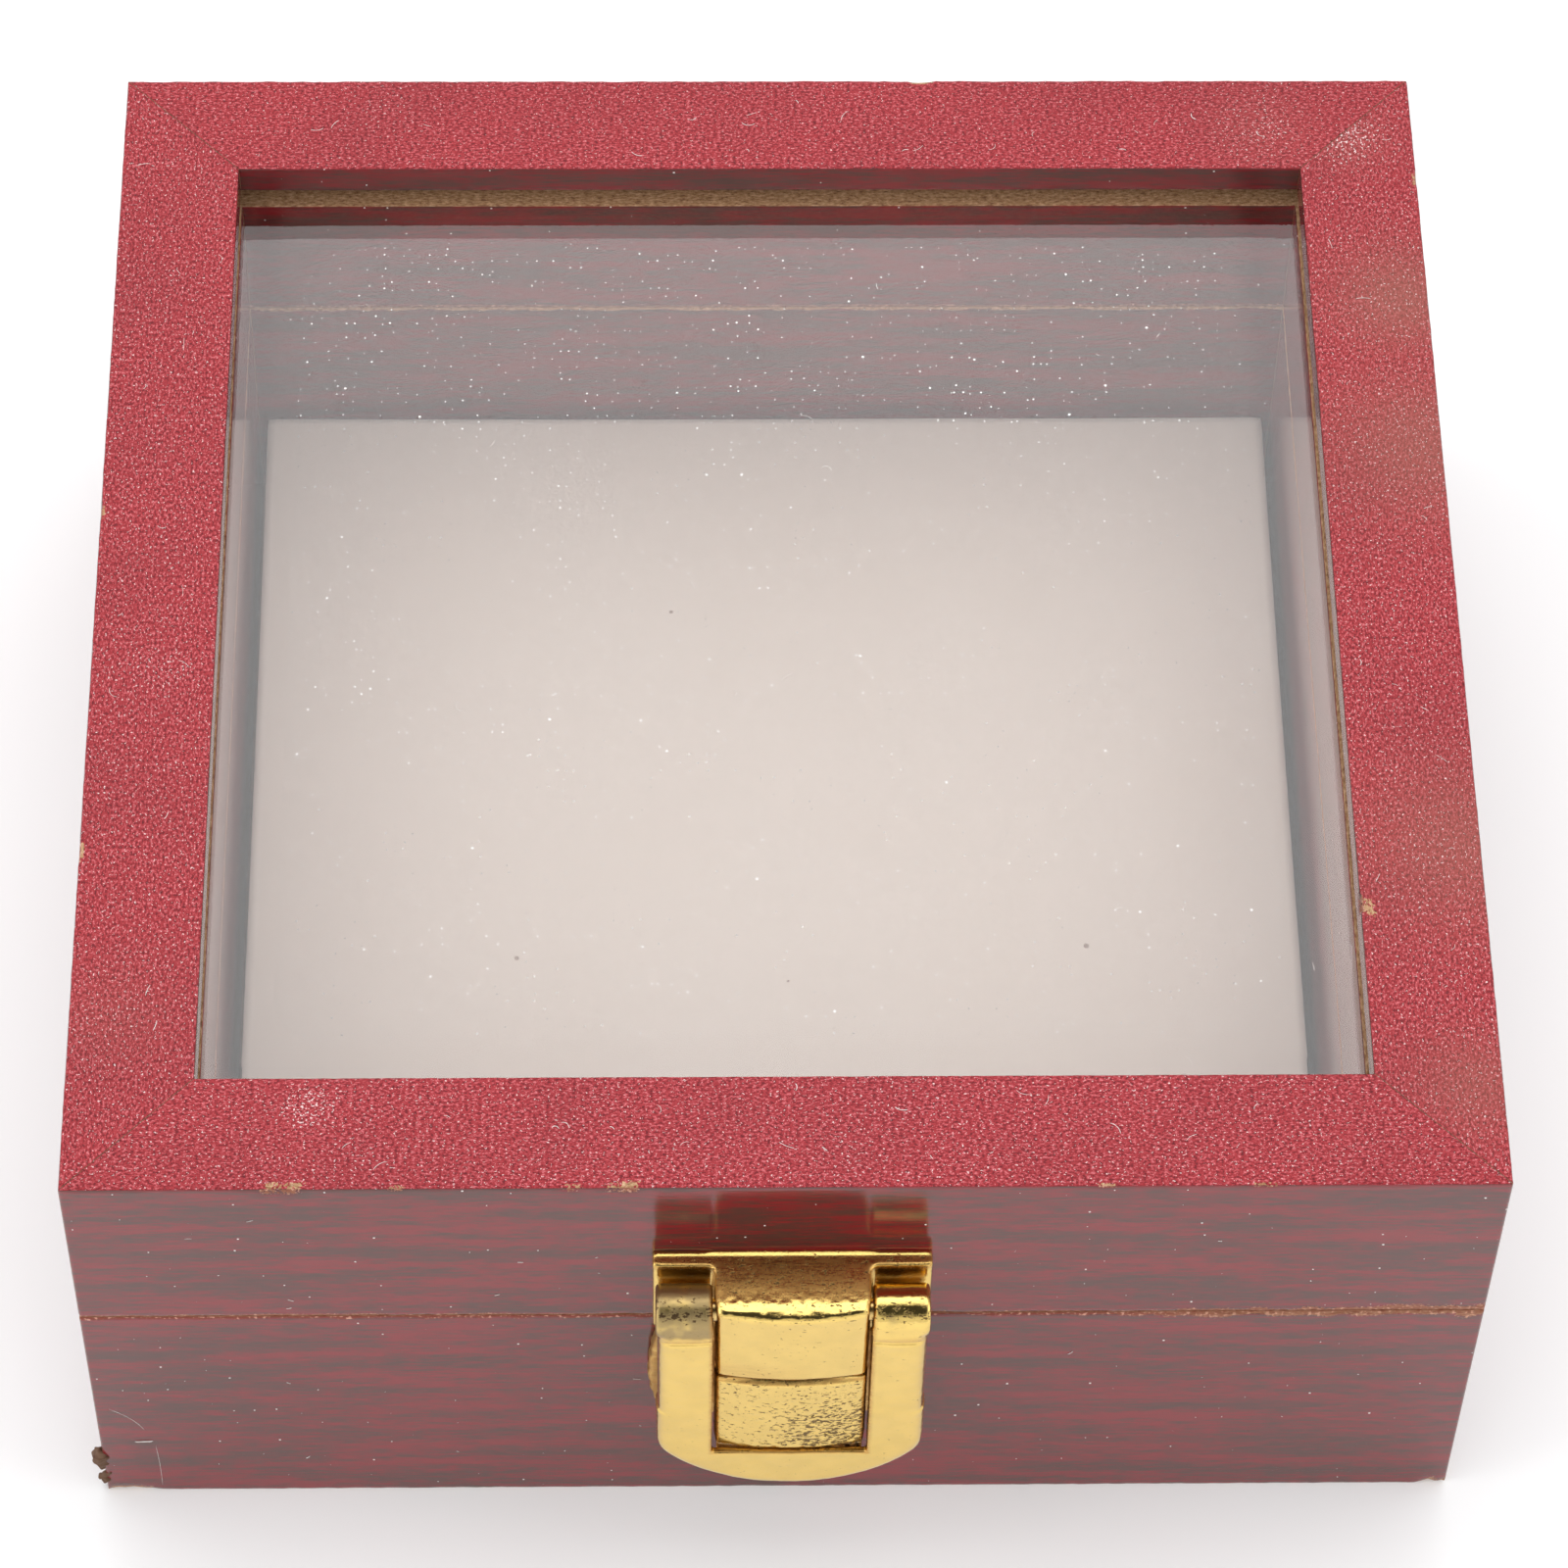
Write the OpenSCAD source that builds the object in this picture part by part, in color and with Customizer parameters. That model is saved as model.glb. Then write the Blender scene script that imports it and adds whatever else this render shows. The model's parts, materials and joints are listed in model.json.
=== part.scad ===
// Coin display tray: a small square box with a glazed lid, hinged at the back and closed by a
// cast hasp at the front. Millimetres, +Z up, X to the right, the front faces -Y, and the
// origin is the middle of the face that the box rests on.

/* [Box] */
// Outside width and depth of the square box
box_w = 100; // [90:1:130]
// Height of the closed box
box_h = 44.2; // [42:0.2:50]
// Height of the base, up to the seam
base_h = 26.3; // [26:0.1:27]
// Thickness of the walls and of the lid rails
wall_t = 9; // [8.5:0.5:12]
// Gap at the seam between the base and the lid
seam_gap = 0.2; // [0.1:0.05:0.3]
// Thickness of the bottom panel
floor_t = 3; // [2:0.5:4]
// Width of the rebate that takes the bottom panel
rebate_w = 4.5; // [3:0.5:5]

/* [Glass] */
// Thickness of the glass pane
pane_t = 1.8; // [1.5:0.1:2]
// Depth of the glass surface below the top of the lid
pane_drop = 3.4; // [3.2:0.1:3.6]
// Height of the veneered lip above the saw kerf
lip_h = 2.66; // [2.2:0.02:3]
// Height of the saw kerf that holds the pane
kerf_h = 2.6; // [2.6:0.05:3]
// Depth of the saw kerf into each rail
kerf_d = 3.2; // [2.5:0.1:4]
// Play of the pane in the kerf on each side
pane_play = 0.2; // [0.1:0.05:0.4]

/* [Display pad] */
// Height of the pad's top above the table
pad_top = 13.4; // [8:0.2:16]
// Gap between the pad and each wall
pad_gap = 0.75; // [0.3:0.05:1]

/* [Latch] */
// Sideways place of the latch, which is fitted by hand
latch_x = 0.5; // [-1:0.1:1]
// Width across the two arms of the hasp
latch_w = 19.2; // [18:0.2:21]
// Width of each arm
arm_w = 4; // [3.6:0.1:4.4]
// Width of the keeper and striker blocks
block_w = 10.2; // [9.4:0.1:10.4]
// Width of the keeper plate
keeper_w = 19.6; // [18:0.2:21]
// Width of the striker plate across the swell of its sides
striker_w = 20; // [19:0.2:22]
// Sideways place of the striker plate from the middle of the latch
striker_shift = -0.5; // [-0.6:0.1:0.6]
// Thickness of the keeper and striker plates
plate_t = 1.2; // [1:0.1:1.4]
// Height of the top of the keeper plate
keeper_top = 35.6; // [35.2:0.1:35.8]
// Height of the bottom of the striker plate
striker_low = 13.9; // [12.4:0.1:14.4]
// How far the middle of the keeper block stands out of the front face
block_reach = 5.5; // [5.3:0.1:5.6]
// How far the front of the hasp stands out of the front face
hasp_reach = 5.4; // [5.4:0.05:5.6]
// Thickness of the arms of the hasp
hasp_t = 2; // [1.8:0.1:2.2]
// Thickness of the thinned middle of the hasp's bar
bar_lip_t = 0.55; // [0.5:0.05:0.6]
// Height of the lowest point of the hasp
hasp_low = 10.5; // [9.8:0.1:10.6]
// Height of the bottom of the hasp's window
window_low = 15.6; // [15.6:0.05:15.8]
// Height of the hasp's pivot
pivot_z = 33.4; // [33.2:0.1:33.6]
// Radius of the hasp's knuckles
hasp_knuckle_r = 1.83; // [1.7:0.01:1.9]

/* [Hinges] */
// Distance of each hinge from the middle
hinge_x = 28; // [20:1:32]
// Width of a hinge leaf
leaf_w = 19; // [16:1:22]
// Depth of a hinge leaf over the wall
leaf_d = 7.6; // [6.5:0.1:7.8]
// Thickness of a hinge leaf
leaf_t = 0.8; // [0.7:0.05:0.9]
// Radius of the hinge knuckles
knuckle_r = 1.6; // [1.4:0.05:1.65]
// Distance of the hinge pin behind the back face
pin_out = 1.75; // [1.75:0.05:2]

/* [Hidden] */
$fn = 48;
half_w = box_w / 2;
inner_w = box_w - 2 * wall_t;
lid_z = base_h + seam_gap;
cut = 1;                              // how far a cutting shape runs past the face it cuts
fit = 0.05;                           // radial clearance of every pin and screw in its hole

kerf_top = box_h - lip_h;
pane_top = box_h - pane_drop;
pane_w = inner_w + 2 * (kerf_d - pane_play);

pivot_reach = 3.5;                    // pivot of the hasp, out of the front face
pivot_pin_r = 0.8;
pivot_pin_len = latch_w - 0.4;
block_crown_r = 29;                   // front faces of both blocks, seen from above
keeper_low = lid_z + 0.15;
lip_drop = 0.4;                       // fall of the keeper block's top towards its front
keeper_block_low = base_h - 0.4;       // the block hangs a little below the seam
keeper_step = 0.2;                    // and stands clear of the striker plate behind it
striker_top = base_h - 0.65;
striker_block_low = 15.15;
striker_reach = [4.72, 5.0, 5.2];     // front of the striker block at its foot, middle and top
striker_mid_z = 18.9;
striker_high_z = 24.4;
striker_bow = 0.6;                    // swell of the striker plate's sides
edge_r = 0.5;
hasp_arc_r = 11;                      // foot of the hasp
window_w = latch_w - 2 * arm_w;
nail_r = 0.45;
nail_len = 7;
nail_head_r = 0.85;
nail_head_h = 0.4;
nail_x = 7.6;
keeper_nail_z = 29.4;
striker_nail_z = 20.4;

hinge_z = base_h + seam_gap / 2;
pin_y = half_w + pin_out;
hinge_pin_r = 0.75;
hinge_pin_head_r = 1.15;
hinge_pin_head_h = 0.5;
knuckle_gap = 0.15;
mid_knuckle_w = leaf_w / 3;
side_knuckle_w = (leaf_w - mid_knuckle_w) / 2 - knuckle_gap;
screw_x = 5.6;                        // screws from the middle of their leaf
screw_in = 4.2;                       // screws in front of the back face
screw_r = 0.7;
screw_head_r = 1.4;
screw_head_h = 0.7;
screw_len = 6.5;

board_red = [0.62, 0.2, 0.22];
gold = [0.86, 0.72, 0.38];

// A square block centred on the box, from height z0 to z1
module square_block(w, z0, z1) {
    translate([-w / 2, -w / 2, z0]) cube([w, w, z1 - z0]);
}

// One mitred board along the front, from height z0 to z1; the other sides are turned copies
module mitred_board(z0, z1) {
    translate([0, 0, z0])
    linear_extrude(height = z1 - z0)
    polygon([[-half_w, -half_w], [half_w, -half_w],
        [half_w - wall_t, wall_t - half_w], [wall_t - half_w, wall_t - half_w]]);
}

// A base wall with the rebate for the bottom panel, turned by the given angle
module base_wall(turn) {
    difference() {
        rotate([0, 0, turn]) mitred_board(0, base_h);
        square_block(inner_w + 2 * rebate_w, -cut, floor_t);
    }
}

// A lid rail with the saw kerf for the glass, turned by the given angle
module lid_rail(turn) {
    difference() {
        rotate([0, 0, turn]) mitred_board(lid_z, box_h);
        square_block(inner_w + 2 * kerf_d, kerf_top - kerf_h, kerf_top);
    }
}

// Places children at both hinges
module at_hinges() {
    for (side = [-1, 1]) translate([side * hinge_x, 0, 0]) children();
}

// Recess for one leaf between heights z0 and z1, open at the back face
module leaf_recess(z0, z1) {
    translate([-leaf_w / 2 - fit, half_w - leaf_d - fit, z0])
    cube([leaf_w + 2 * fit, leaf_d + fit + cut, z1 - z0]);
}

// Places children at the two screws of a leaf, at the origin's height
module at_leaf_screws() {
    for (side = [-1, 1]) translate([side * screw_x, half_w - screw_in, 0]) children();
}

// A countersunk wood screw pointing down, its head's face at z = 0
module wood_screw() {
    difference() {
        union() {
            translate([0, 0, -screw_head_h])
            cylinder(h = screw_head_h, r1 = screw_r, r2 = screw_head_r);
            translate([0, 0, 1 - screw_len]) cylinder(h = screw_len - 1, r = screw_r);
            translate([0, 0, -screw_len]) cylinder(h = 1, r1 = 0.15, r2 = screw_r);
        }
        translate([-screw_head_r - cut, -0.2, -0.3]) cube([2 * (screw_head_r + cut), 0.4, 2]);
    }
}

// The hole that a screw needs, pointing down from z = 0
module screw_hole() {
    translate([0, 0, -screw_head_h])
    cylinder(h = screw_head_h, r1 = screw_r + fit, r2 = screw_head_r + fit);
    translate([0, 0, -screw_len - fit]) cylinder(h = screw_len + cut, r = screw_r + fit);
}

// One hinge leaf with its own knuckles, lying under z = 0 in front of the pin's axis
module hinge_leaf(knuckles) {
    difference() {
        union() {
            translate([-leaf_w / 2, half_w - leaf_d, -seam_gap / 2 - leaf_t])
            cube([leaf_w, leaf_d, leaf_t]);
            for (k = knuckles) translate([k[0] - k[1] / 2, 0, 0]) {
                translate([0, half_w - cut, -seam_gap / 2 - leaf_t]) cube([k[1], pin_out + cut, leaf_t]);
                translate([0, pin_y, 0]) rotate([0, 90, 0]) cylinder(h = k[1], r = knuckle_r);
            }
        }
        translate([-leaf_w, pin_y, 0]) rotate([0, 90, 0])
        cylinder(h = 2 * leaf_w, r = hinge_pin_r + fit);
        at_leaf_screws() translate([0, 0, -seam_gap / 2]) screw_hole();
    }
}

// Base leaf of a hinge, with the two outer knuckles
module base_leaf() {
    outer_x = (leaf_w - side_knuckle_w) / 2;
    translate([0, 0, hinge_z])
    hinge_leaf([[-outer_x, side_knuckle_w], [outer_x, side_knuckle_w]]);
}

// Lid leaf of a hinge, with the middle knuckle
module lid_leaf() {
    translate([0, 0, hinge_z]) mirror([0, 0, 1]) hinge_leaf([[0, mid_knuckle_w]]);
}

// Pin of a hinge, with a button head at each end
module hinge_pin() {
    translate([-leaf_w / 2 - hinge_pin_head_h, pin_y, hinge_z]) rotate([0, 90, 0]) {
        cylinder(h = leaf_w + 2 * hinge_pin_head_h, r = hinge_pin_r);
        cylinder(h = hinge_pin_head_h - fit, r1 = hinge_pin_head_r - 0.3, r2 = hinge_pin_head_r);
        translate([0, 0, leaf_w + hinge_pin_head_h + fit])
        cylinder(h = hinge_pin_head_h - fit, r1 = hinge_pin_head_r, r2 = hinge_pin_head_r - 0.3);
    }
}

// Places children on the front face, at the middle of the latch
module on_front() {
    translate([latch_x, -half_w, 0]) children();
}

// A solid of width w whose side outline is a list of [reach, height] points
module side_profile(w, outline) {
    translate([-w / 2, 0, 0]) rotate([90, 0, 90])
    linear_extrude(height = w) polygon([for (p = outline) [-p[0], p[1]]]);
}

// A quarter or less of a rounded corner, as [reach, height] points about its centre
function corner(reach, height, r, from, to, steps = 6) =
    [for (i = [0 : steps]) let (a = from + (to - from) * i / steps)
        [reach + r * cos(a), height + r * sin(a)]];

// Rounds the front of a block as seen from above, its middle standing out by the given reach
module crowned(reach) {
    intersection() {
        children();
        translate([0, block_crown_r - reach, 0])
        cylinder(h = box_h, r = block_crown_r, $fn = 96);
    }
}

// Places children at the two nails of a latch plate, pointing out of the front face
module at_nails(z) {
    for (side = [-1, 1]) translate([side * nail_x, 0, z]) rotate([90, 0, 0]) children();
}

// A round-headed nail through a latch plate, along +Z out of the front face
module nail() {
    translate([0, 0, plate_t - nail_len]) cylinder(h = nail_len + 2 * fit, r = nail_r);
    translate([0, 0, plate_t + fit]) cylinder(h = nail_head_h, r1 = nail_head_r, r2 = nail_head_r - 0.3);
}

// Nail holes through a plate and into the board behind it
module nail_holes(z) {
    at_nails(z) translate([0, 0, plate_t - nail_len - fit])
    cylinder(h = nail_len + cut, r = nail_r + fit);
}

module base_front_wall() color(board_red) difference() {
    base_wall(0);
    on_front() nail_holes(striker_nail_z);
}

module base_back_wall() color(board_red) difference() {
    base_wall(180);
    at_hinges() leaf_recess(base_h - leaf_t - fit, base_h + cut);
    at_hinges() at_leaf_screws() translate([0, 0, base_h]) screw_hole();
}

module base_left_wall() color(board_red) base_wall(270);

module base_right_wall() color(board_red) base_wall(90);

module bottom_panel() color([0.45, 0.3, 0.22])
    square_block(inner_w + 2 * rebate_w, 0, floor_t);

module display_pad() color([0.93, 0.92, 0.88])
    square_block(inner_w - 2 * pad_gap, floor_t, pad_top);

module latch_striker() color(gold) on_front() difference() {
    union() {
        intersection() {
            side_profile(striker_w + 2, [[0, striker_low], [plate_t, striker_low],
                [plate_t, striker_top], [0, striker_top]]);
            striker_sides();
        }
        crowned(striker_reach[2]) side_profile(block_w, concat([[0, striker_block_low]],
            corner(striker_reach[0] - edge_r, striker_block_low + edge_r, edge_r, -90, 0),
            [[striker_reach[1], striker_mid_z], [striker_reach[2], striker_high_z]],
            corner(striker_reach[2] - edge_r, striker_top - edge_r, edge_r, 0, 90),
            [[0, striker_top]]));
    }
    nail_holes(striker_nail_z);
}

// The swelling sides of the striker plate: where two large round shapes cross
module striker_sides() {
    rise = (striker_top - striker_low) / 2;
    bow_r = (rise * rise + striker_bow * striker_bow) / (2 * striker_bow);
    middle = striker_low + rise;
    intersection_for(side = [-1, 1])
    translate([striker_shift + side * (bow_r - striker_w / 2), cut, middle]) rotate([90, 0, 0])
    cylinder(h = plate_t + 2 * cut, r = bow_r, $fn = 96);
}

module latch_keeper() color(gold) on_front() difference() {
    union() {
        side_profile(keeper_w, [[0, keeper_low], [plate_t, keeper_low],
            [plate_t, keeper_top - 0.3], [plate_t - 0.3, keeper_top], [0, keeper_top]]);
        crowned(block_reach) side_profile(block_w, concat(
            [[0, keeper_low], [plate_t + keeper_step, keeper_low],
                [plate_t + keeper_step, keeper_block_low]],
            corner(block_reach - edge_r, keeper_block_low + edge_r, edge_r, -90, 0),
            corner(block_reach - edge_r, keeper_top - lip_drop - edge_r, edge_r, 0, 85),
            [[0, keeper_top]]));
    }
    pivot_bore();
    nail_holes(keeper_nail_z);
}

// Clear hole for the hasp's pivot pin
module pivot_bore() {
    translate([-latch_w, -pivot_reach, pivot_z]) rotate([0, 90, 0])
    cylinder(h = 2 * latch_w, r = pivot_pin_r + fit);
}

module hasp_pivot_pin() color(gold) on_front()
    translate([-pivot_pin_len / 2, -pivot_reach, pivot_z]) rotate([0, 90, 0])
    cylinder(h = pivot_pin_len, r = pivot_pin_r);

module striker_pins() color(gold) on_front() at_nails(striker_nail_z) nail();

module keeper_pins() color(gold) on_front() at_nails(keeper_nail_z) nail();

// Front outline of the hasp: two arms joined by a bar with a round foot
module hasp_outline() {
    foot_z = hasp_low + hasp_arc_r;
    difference() {
        intersection() {
            translate([-latch_w / 2, hasp_low - cut]) square([latch_w, pivot_z - hasp_low + cut]);
            union() {
                translate([0, foot_z]) circle(r = hasp_arc_r, $fn = 96);
                translate([-latch_w / 2, foot_z - hasp_arc_r / 2]) square([latch_w, pivot_z]);
            }
        }
        translate([-window_w / 2, window_low]) square([window_w, pivot_z]);
    }
}

module hasp_lever() color(gold) on_front() difference() {
    union() {
        translate([0, hasp_t - hasp_reach, 0]) rotate([90, 0, 0])
        linear_extrude(height = hasp_t) hasp_outline();
        for (side = [-1, 1])
        translate([side * (latch_w - arm_w) / 2 - arm_w / 2, -pivot_reach, pivot_z])
        rotate([0, 90, 0]) cylinder(h = arm_w, r = hasp_knuckle_r);
    }
    pivot_bore();
    // thumb relief behind the bar, which also clears the striker block
    translate([-window_w / 2, bar_lip_t - hasp_reach, hasp_low - cut])
    cube([window_w, hasp_t, window_low - hasp_low + 2 * cut]);
}

module hinge_base_leaf_left() color(gold) translate([-hinge_x, 0, 0]) base_leaf();

module hinge_base_leaf_right() color(gold) translate([hinge_x, 0, 0]) base_leaf();

module hinge_pin_left() color(gold) translate([-hinge_x, 0, 0]) hinge_pin();

module hinge_pin_right() color(gold) translate([hinge_x, 0, 0]) hinge_pin();

module hinge_base_screws() color(gold)
    at_hinges() at_leaf_screws() translate([0, 0, base_h]) wood_screw();

module lid_front_rail() color(board_red) difference() {
    lid_rail(0);
    on_front() nail_holes(keeper_nail_z);
}

module lid_back_rail() color(board_red) difference() {
    lid_rail(180);
    at_hinges() leaf_recess(lid_z - cut, lid_z + leaf_t + fit);
    at_hinges() at_leaf_screws() translate([0, 0, lid_z]) mirror([0, 0, 1]) screw_hole();
}

module lid_left_rail() color(board_red) lid_rail(270);

module lid_right_rail() color(board_red) lid_rail(90);

module glass_pane() color([0.8, 0.88, 0.86, 0.4])
    square_block(pane_w, pane_top - pane_t, pane_top);

module hinge_lid_leaf_left() color(gold) translate([-hinge_x, 0, 0]) lid_leaf();

module hinge_lid_leaf_right() color(gold) translate([hinge_x, 0, 0]) lid_leaf();

module hinge_lid_screws() color(gold)
    at_hinges() at_leaf_screws() translate([0, 0, lid_z]) mirror([0, 0, 1]) wood_screw();

base_front_wall();
base_back_wall();
base_left_wall();
base_right_wall();
bottom_panel();
display_pad();
latch_striker();
striker_pins();
hinge_base_leaf_left();
hinge_base_leaf_right();
hinge_pin_left();
hinge_pin_right();
hinge_base_screws();
lid_front_rail();
lid_back_rail();
lid_left_rail();
lid_right_rail();
glass_pane();
latch_keeper();
keeper_pins();
hasp_pivot_pin();
hinge_lid_leaf_left();
hinge_lid_leaf_right();
hinge_lid_screws();
hasp_lever();
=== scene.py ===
import json
import math

import bpy
import numpy as np
from mathutils import Matrix, Vector
from mathutils.kdtree import KDTree


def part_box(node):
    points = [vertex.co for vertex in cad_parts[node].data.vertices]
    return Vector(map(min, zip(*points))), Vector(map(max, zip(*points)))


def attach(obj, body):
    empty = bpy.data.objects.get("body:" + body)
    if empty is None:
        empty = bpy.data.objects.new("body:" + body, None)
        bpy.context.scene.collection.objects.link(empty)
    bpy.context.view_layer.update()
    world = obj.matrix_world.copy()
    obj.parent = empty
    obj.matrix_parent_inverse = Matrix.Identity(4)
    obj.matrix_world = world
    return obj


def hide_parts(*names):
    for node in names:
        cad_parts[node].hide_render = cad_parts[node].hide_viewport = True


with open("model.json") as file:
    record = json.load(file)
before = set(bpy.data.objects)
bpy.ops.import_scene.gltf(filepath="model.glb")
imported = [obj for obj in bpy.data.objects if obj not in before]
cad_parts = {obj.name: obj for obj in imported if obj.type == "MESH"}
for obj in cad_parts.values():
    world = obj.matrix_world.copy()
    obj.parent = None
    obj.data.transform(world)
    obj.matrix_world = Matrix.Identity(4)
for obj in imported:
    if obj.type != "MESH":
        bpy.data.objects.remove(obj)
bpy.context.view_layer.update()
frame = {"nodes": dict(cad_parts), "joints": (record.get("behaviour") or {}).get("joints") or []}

# A small square box of red film-covered fibreboard with a glazed lid, a pale pad inside and a
# gold hasp on the front. Metres, +Z up, the front faces -Y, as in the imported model.
MM = 0.001

# ---- sizes taken from the frame -------------------------------------------------------------
wall_low, wall_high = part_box("base_front_wall")
rail_low, rail_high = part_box("lid_front_rail")
pane_low, pane_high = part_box("glass_pane")
pad_low, pad_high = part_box("display_pad")
HALF = wall_high.x  # half of the box's outside width
WALL = wall_high.y - wall_low.y  # thickness of the boards
BASE_TOP = wall_high.z
LID_LOW = rail_low.z
LID_TOP = rail_high.z
FLOOR_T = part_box("bottom_panel")[1].z  # thickness of the bottom panel
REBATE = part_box("bottom_panel")[1].x - (HALF - WALL)  # depth of the rebate it lies in

LIP = 2.66 * MM  # height of the lip above the saw kerf
KERF = 2.6 * MM  # height of the saw kerf
KERF_DEPTH = 3.2 * MM
SEAM_FILL = 0.07 * MM  # the sawn fibres swell a little into the seam


# ---- plain helpers --------------------------------------------------------------------------
def link(obj):
    """Puts an object in the scene."""
    bpy.context.scene.collection.objects.link(obj)
    return obj


def mesh_object(name, points, faces, materials, indices=None, smooth=True):
    """A mesh object from points in metres and faces, with a material index per face."""
    mesh = bpy.data.meshes.new(name)
    mesh.from_pydata([tuple(p) for p in points], [], [tuple(int(i) for i in f) for f in faces])
    for m in materials:
        mesh.materials.append(m)
    if indices is not None:
        mesh.polygons.foreach_set("material_index", np.asarray(indices, np.int32))
    mesh.polygons.foreach_set("use_smooth", [smooth] * len(mesh.polygons))
    mesh.validate()
    mesh.update()
    return link(bpy.data.objects.new(name, mesh))


def store(obj, name, values):
    """Stores one vector per vertex for a material to read."""
    attribute = obj.data.attributes.new(name, "FLOAT_VECTOR", "POINT")
    attribute.data.foreach_set("vector", np.asarray(values, np.float32).ravel())


def smoothstep(low, high, value):
    """0 below low, 1 above high, and a smooth rise between them."""
    t = np.clip((value - low) / (high - low), 0, 1)
    return t * t * (3 - 2 * t)


def lattice_noise(seed, size=32):
    """A smooth repeating noise field: a function of arrays x, y, z in cells, from -1 to 1."""
    grid = np.random.default_rng(seed).uniform(-1, 1, (size, size, size))

    def at(x, y, z=0.0):
        x, y, z = np.broadcast_arrays(x, y, z)
        cells = [np.floor(a).astype(int) for a in (x, y, z)]
        part = [a - c for a, c in zip((x, y, z), cells)]
        part = [p * p * (3 - 2 * p) for p in part]
        total = np.zeros(x.shape)
        for corner in range(8):
            bits = [(corner >> b) & 1 for b in range(3)]
            weight = np.ones(x.shape)
            for p, bit in zip(part, bits):
                weight = weight * (p if bit else 1 - p)
            index = [(c + bit) % size for c, bit in zip(cells, bits)]
            total = total + weight * grid[index[0], index[1], index[2]]
        return total

    return at


# ---- material nodes -------------------------------------------------------------------------
def new_material(name):
    """A material with an empty node tree and its Principled shader."""
    mat = bpy.data.materials.new(name)
    mat.use_nodes = True
    tree = mat.node_tree
    tree.nodes.clear()
    out = tree.nodes.new("ShaderNodeOutputMaterial")
    shader = tree.nodes.new("ShaderNodeBsdfPrincipled")
    tree.links.new(shader.outputs[0], out.inputs[0])
    return mat, tree, shader


def plug(tree, target, value):
    """Links a socket to an input, or sets the input's own value."""
    if isinstance(value, bpy.types.NodeSocket):
        tree.links.new(value, target)
    elif isinstance(value, (tuple, list)) and len(value) == 3 and target.type == "RGBA":
        target.default_value = (*value, 1.0)
    else:
        target.default_value = value


def fill(tree, node, inputs):
    """Links or sets a node's inputs, by name or index."""
    for key, value in inputs.items():
        plug(tree, node.inputs[key], value)


def add(tree, kind, inputs=None, **settings):
    """Adds a node, sets its properties and fills its inputs."""
    made = tree.nodes.new("ShaderNode" + kind)
    for key, value in settings.items():
        setattr(made, key, value)
    fill(tree, made, inputs or {})
    return made


def math_node(tree, operation, a, b):
    """One math operation on two values."""
    return add(tree, "Math", {0: a, 1: b}, operation=operation).outputs[0]


def times(tree, a, b):
    """The product of two values."""
    return math_node(tree, "MULTIPLY", a, b)


def plus(tree, a, b):
    """The sum of two values."""
    return math_node(tree, "ADD", a, b)


def minus(tree, a, b):
    """The difference of two values."""
    return math_node(tree, "SUBTRACT", a, b)


def step_up(tree, value, low, high, to_low=0.0, to_high=1.0):
    """A smooth rise of a value between two levels."""
    return add(tree, "MapRange", {"Value": value, "From Min": low, "From Max": high,
                                  "To Min": to_low, "To Max": to_high},
               interpolation_type="SMOOTHSTEP").outputs[0]


def mix(tree, factor, a, b):
    """A colour mixed from two."""
    made = add(tree, "Mix", data_type="RGBA")
    plug(tree, made.inputs[0], factor)
    plug(tree, made.inputs[6], a)
    plug(tree, made.inputs[7], b)
    return made.outputs[2]


def stored(tree, name):
    """A vector stored on the mesh."""
    return add(tree, "Attribute", attribute_name=name).outputs["Vector"]


def object_place(tree):
    """The place on the object, in metres."""
    return add(tree, "TexCoord").outputs["Object"]


def split(tree, vector):
    """The three parts of a vector."""
    return add(tree, "SeparateXYZ", {0: vector}).outputs


def stretched(tree, vector, scale):
    """A vector stretched by a scale along each axis."""
    return add(tree, "Mapping", {"Vector": vector, "Scale": scale}).outputs[0]


def noise(tree, vector, per_mm, detail=2.0, roughness=0.5, dimensions="2D"):
    """Noise with so many cells in a millimetre."""
    return add(tree, "TexNoise", {"Vector": vector, "Scale": per_mm / MM, "Detail": detail,
                                  "Roughness": roughness},
               noise_dimensions=dimensions).outputs[0]


def specks(tree, vector, spacing_mm, radius_mm, share):
    """Round specks: one in each cell of the given spacing, on a share of the cells."""
    cells = add(tree, "TexVoronoi", {"Vector": vector, "Scale": 1 / (spacing_mm * MM)},
                voronoi_dimensions="2D")
    parts = split(tree, cells.outputs["Color"])
    squared = math_node(tree, "POWER", parts[1], 2.0)
    size = times(tree, squared, radius_mm / spacing_mm)
    inside = math_node(tree, "LESS_THAN", cells.outputs["Distance"], size)
    chosen = math_node(tree, "LESS_THAN", parts[0], share)
    return times(tree, inside, chosen)


def bump(tree, shader, height, distance_mm, strength=1.0):
    """Bump from a height, in millimetres."""
    made = add(tree, "Bump", {"Height": height, "Distance": distance_mm * MM, "Strength": strength})
    tree.links.new(made.outputs[0], shader.inputs["Normal"])


# Colours, linear: the printed film, the fibreboard under it, what lies on them, and a painted glint.
FILM_RED = (0.230, 0.015, 0.020)
FILM_WINE = (0.165, 0.020, 0.022)
FILM_DARK = (0.090, 0.031, 0.026)
TOP_RED = (0.345, 0.017, 0.025)
TOP_DARK = (0.125, 0.005, 0.010)
TOP_PINK = (0.620, 0.140, 0.160)
STAINED = (0.230, 0.046, 0.030)
FLECK = (0.700, 0.360, 0.270)
RUBBED = (0.270, 0.105, 0.075)
FIBRE = (0.400, 0.225, 0.105)
FIBRE_LIGHT = (0.680, 0.450, 0.280)
FIBRE_DARK = (0.160, 0.062, 0.030)
# GLINT: a painted glint of the top's pores, standing also for specks of dust.
GLINT = (0.780, 0.620, 0.610)
DUST = (0.850, 0.790, 0.760)
GRIME = (0.050, 0.016, 0.010)
MITRE_DARK = (0.050, 0.012, 0.012)
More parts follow.
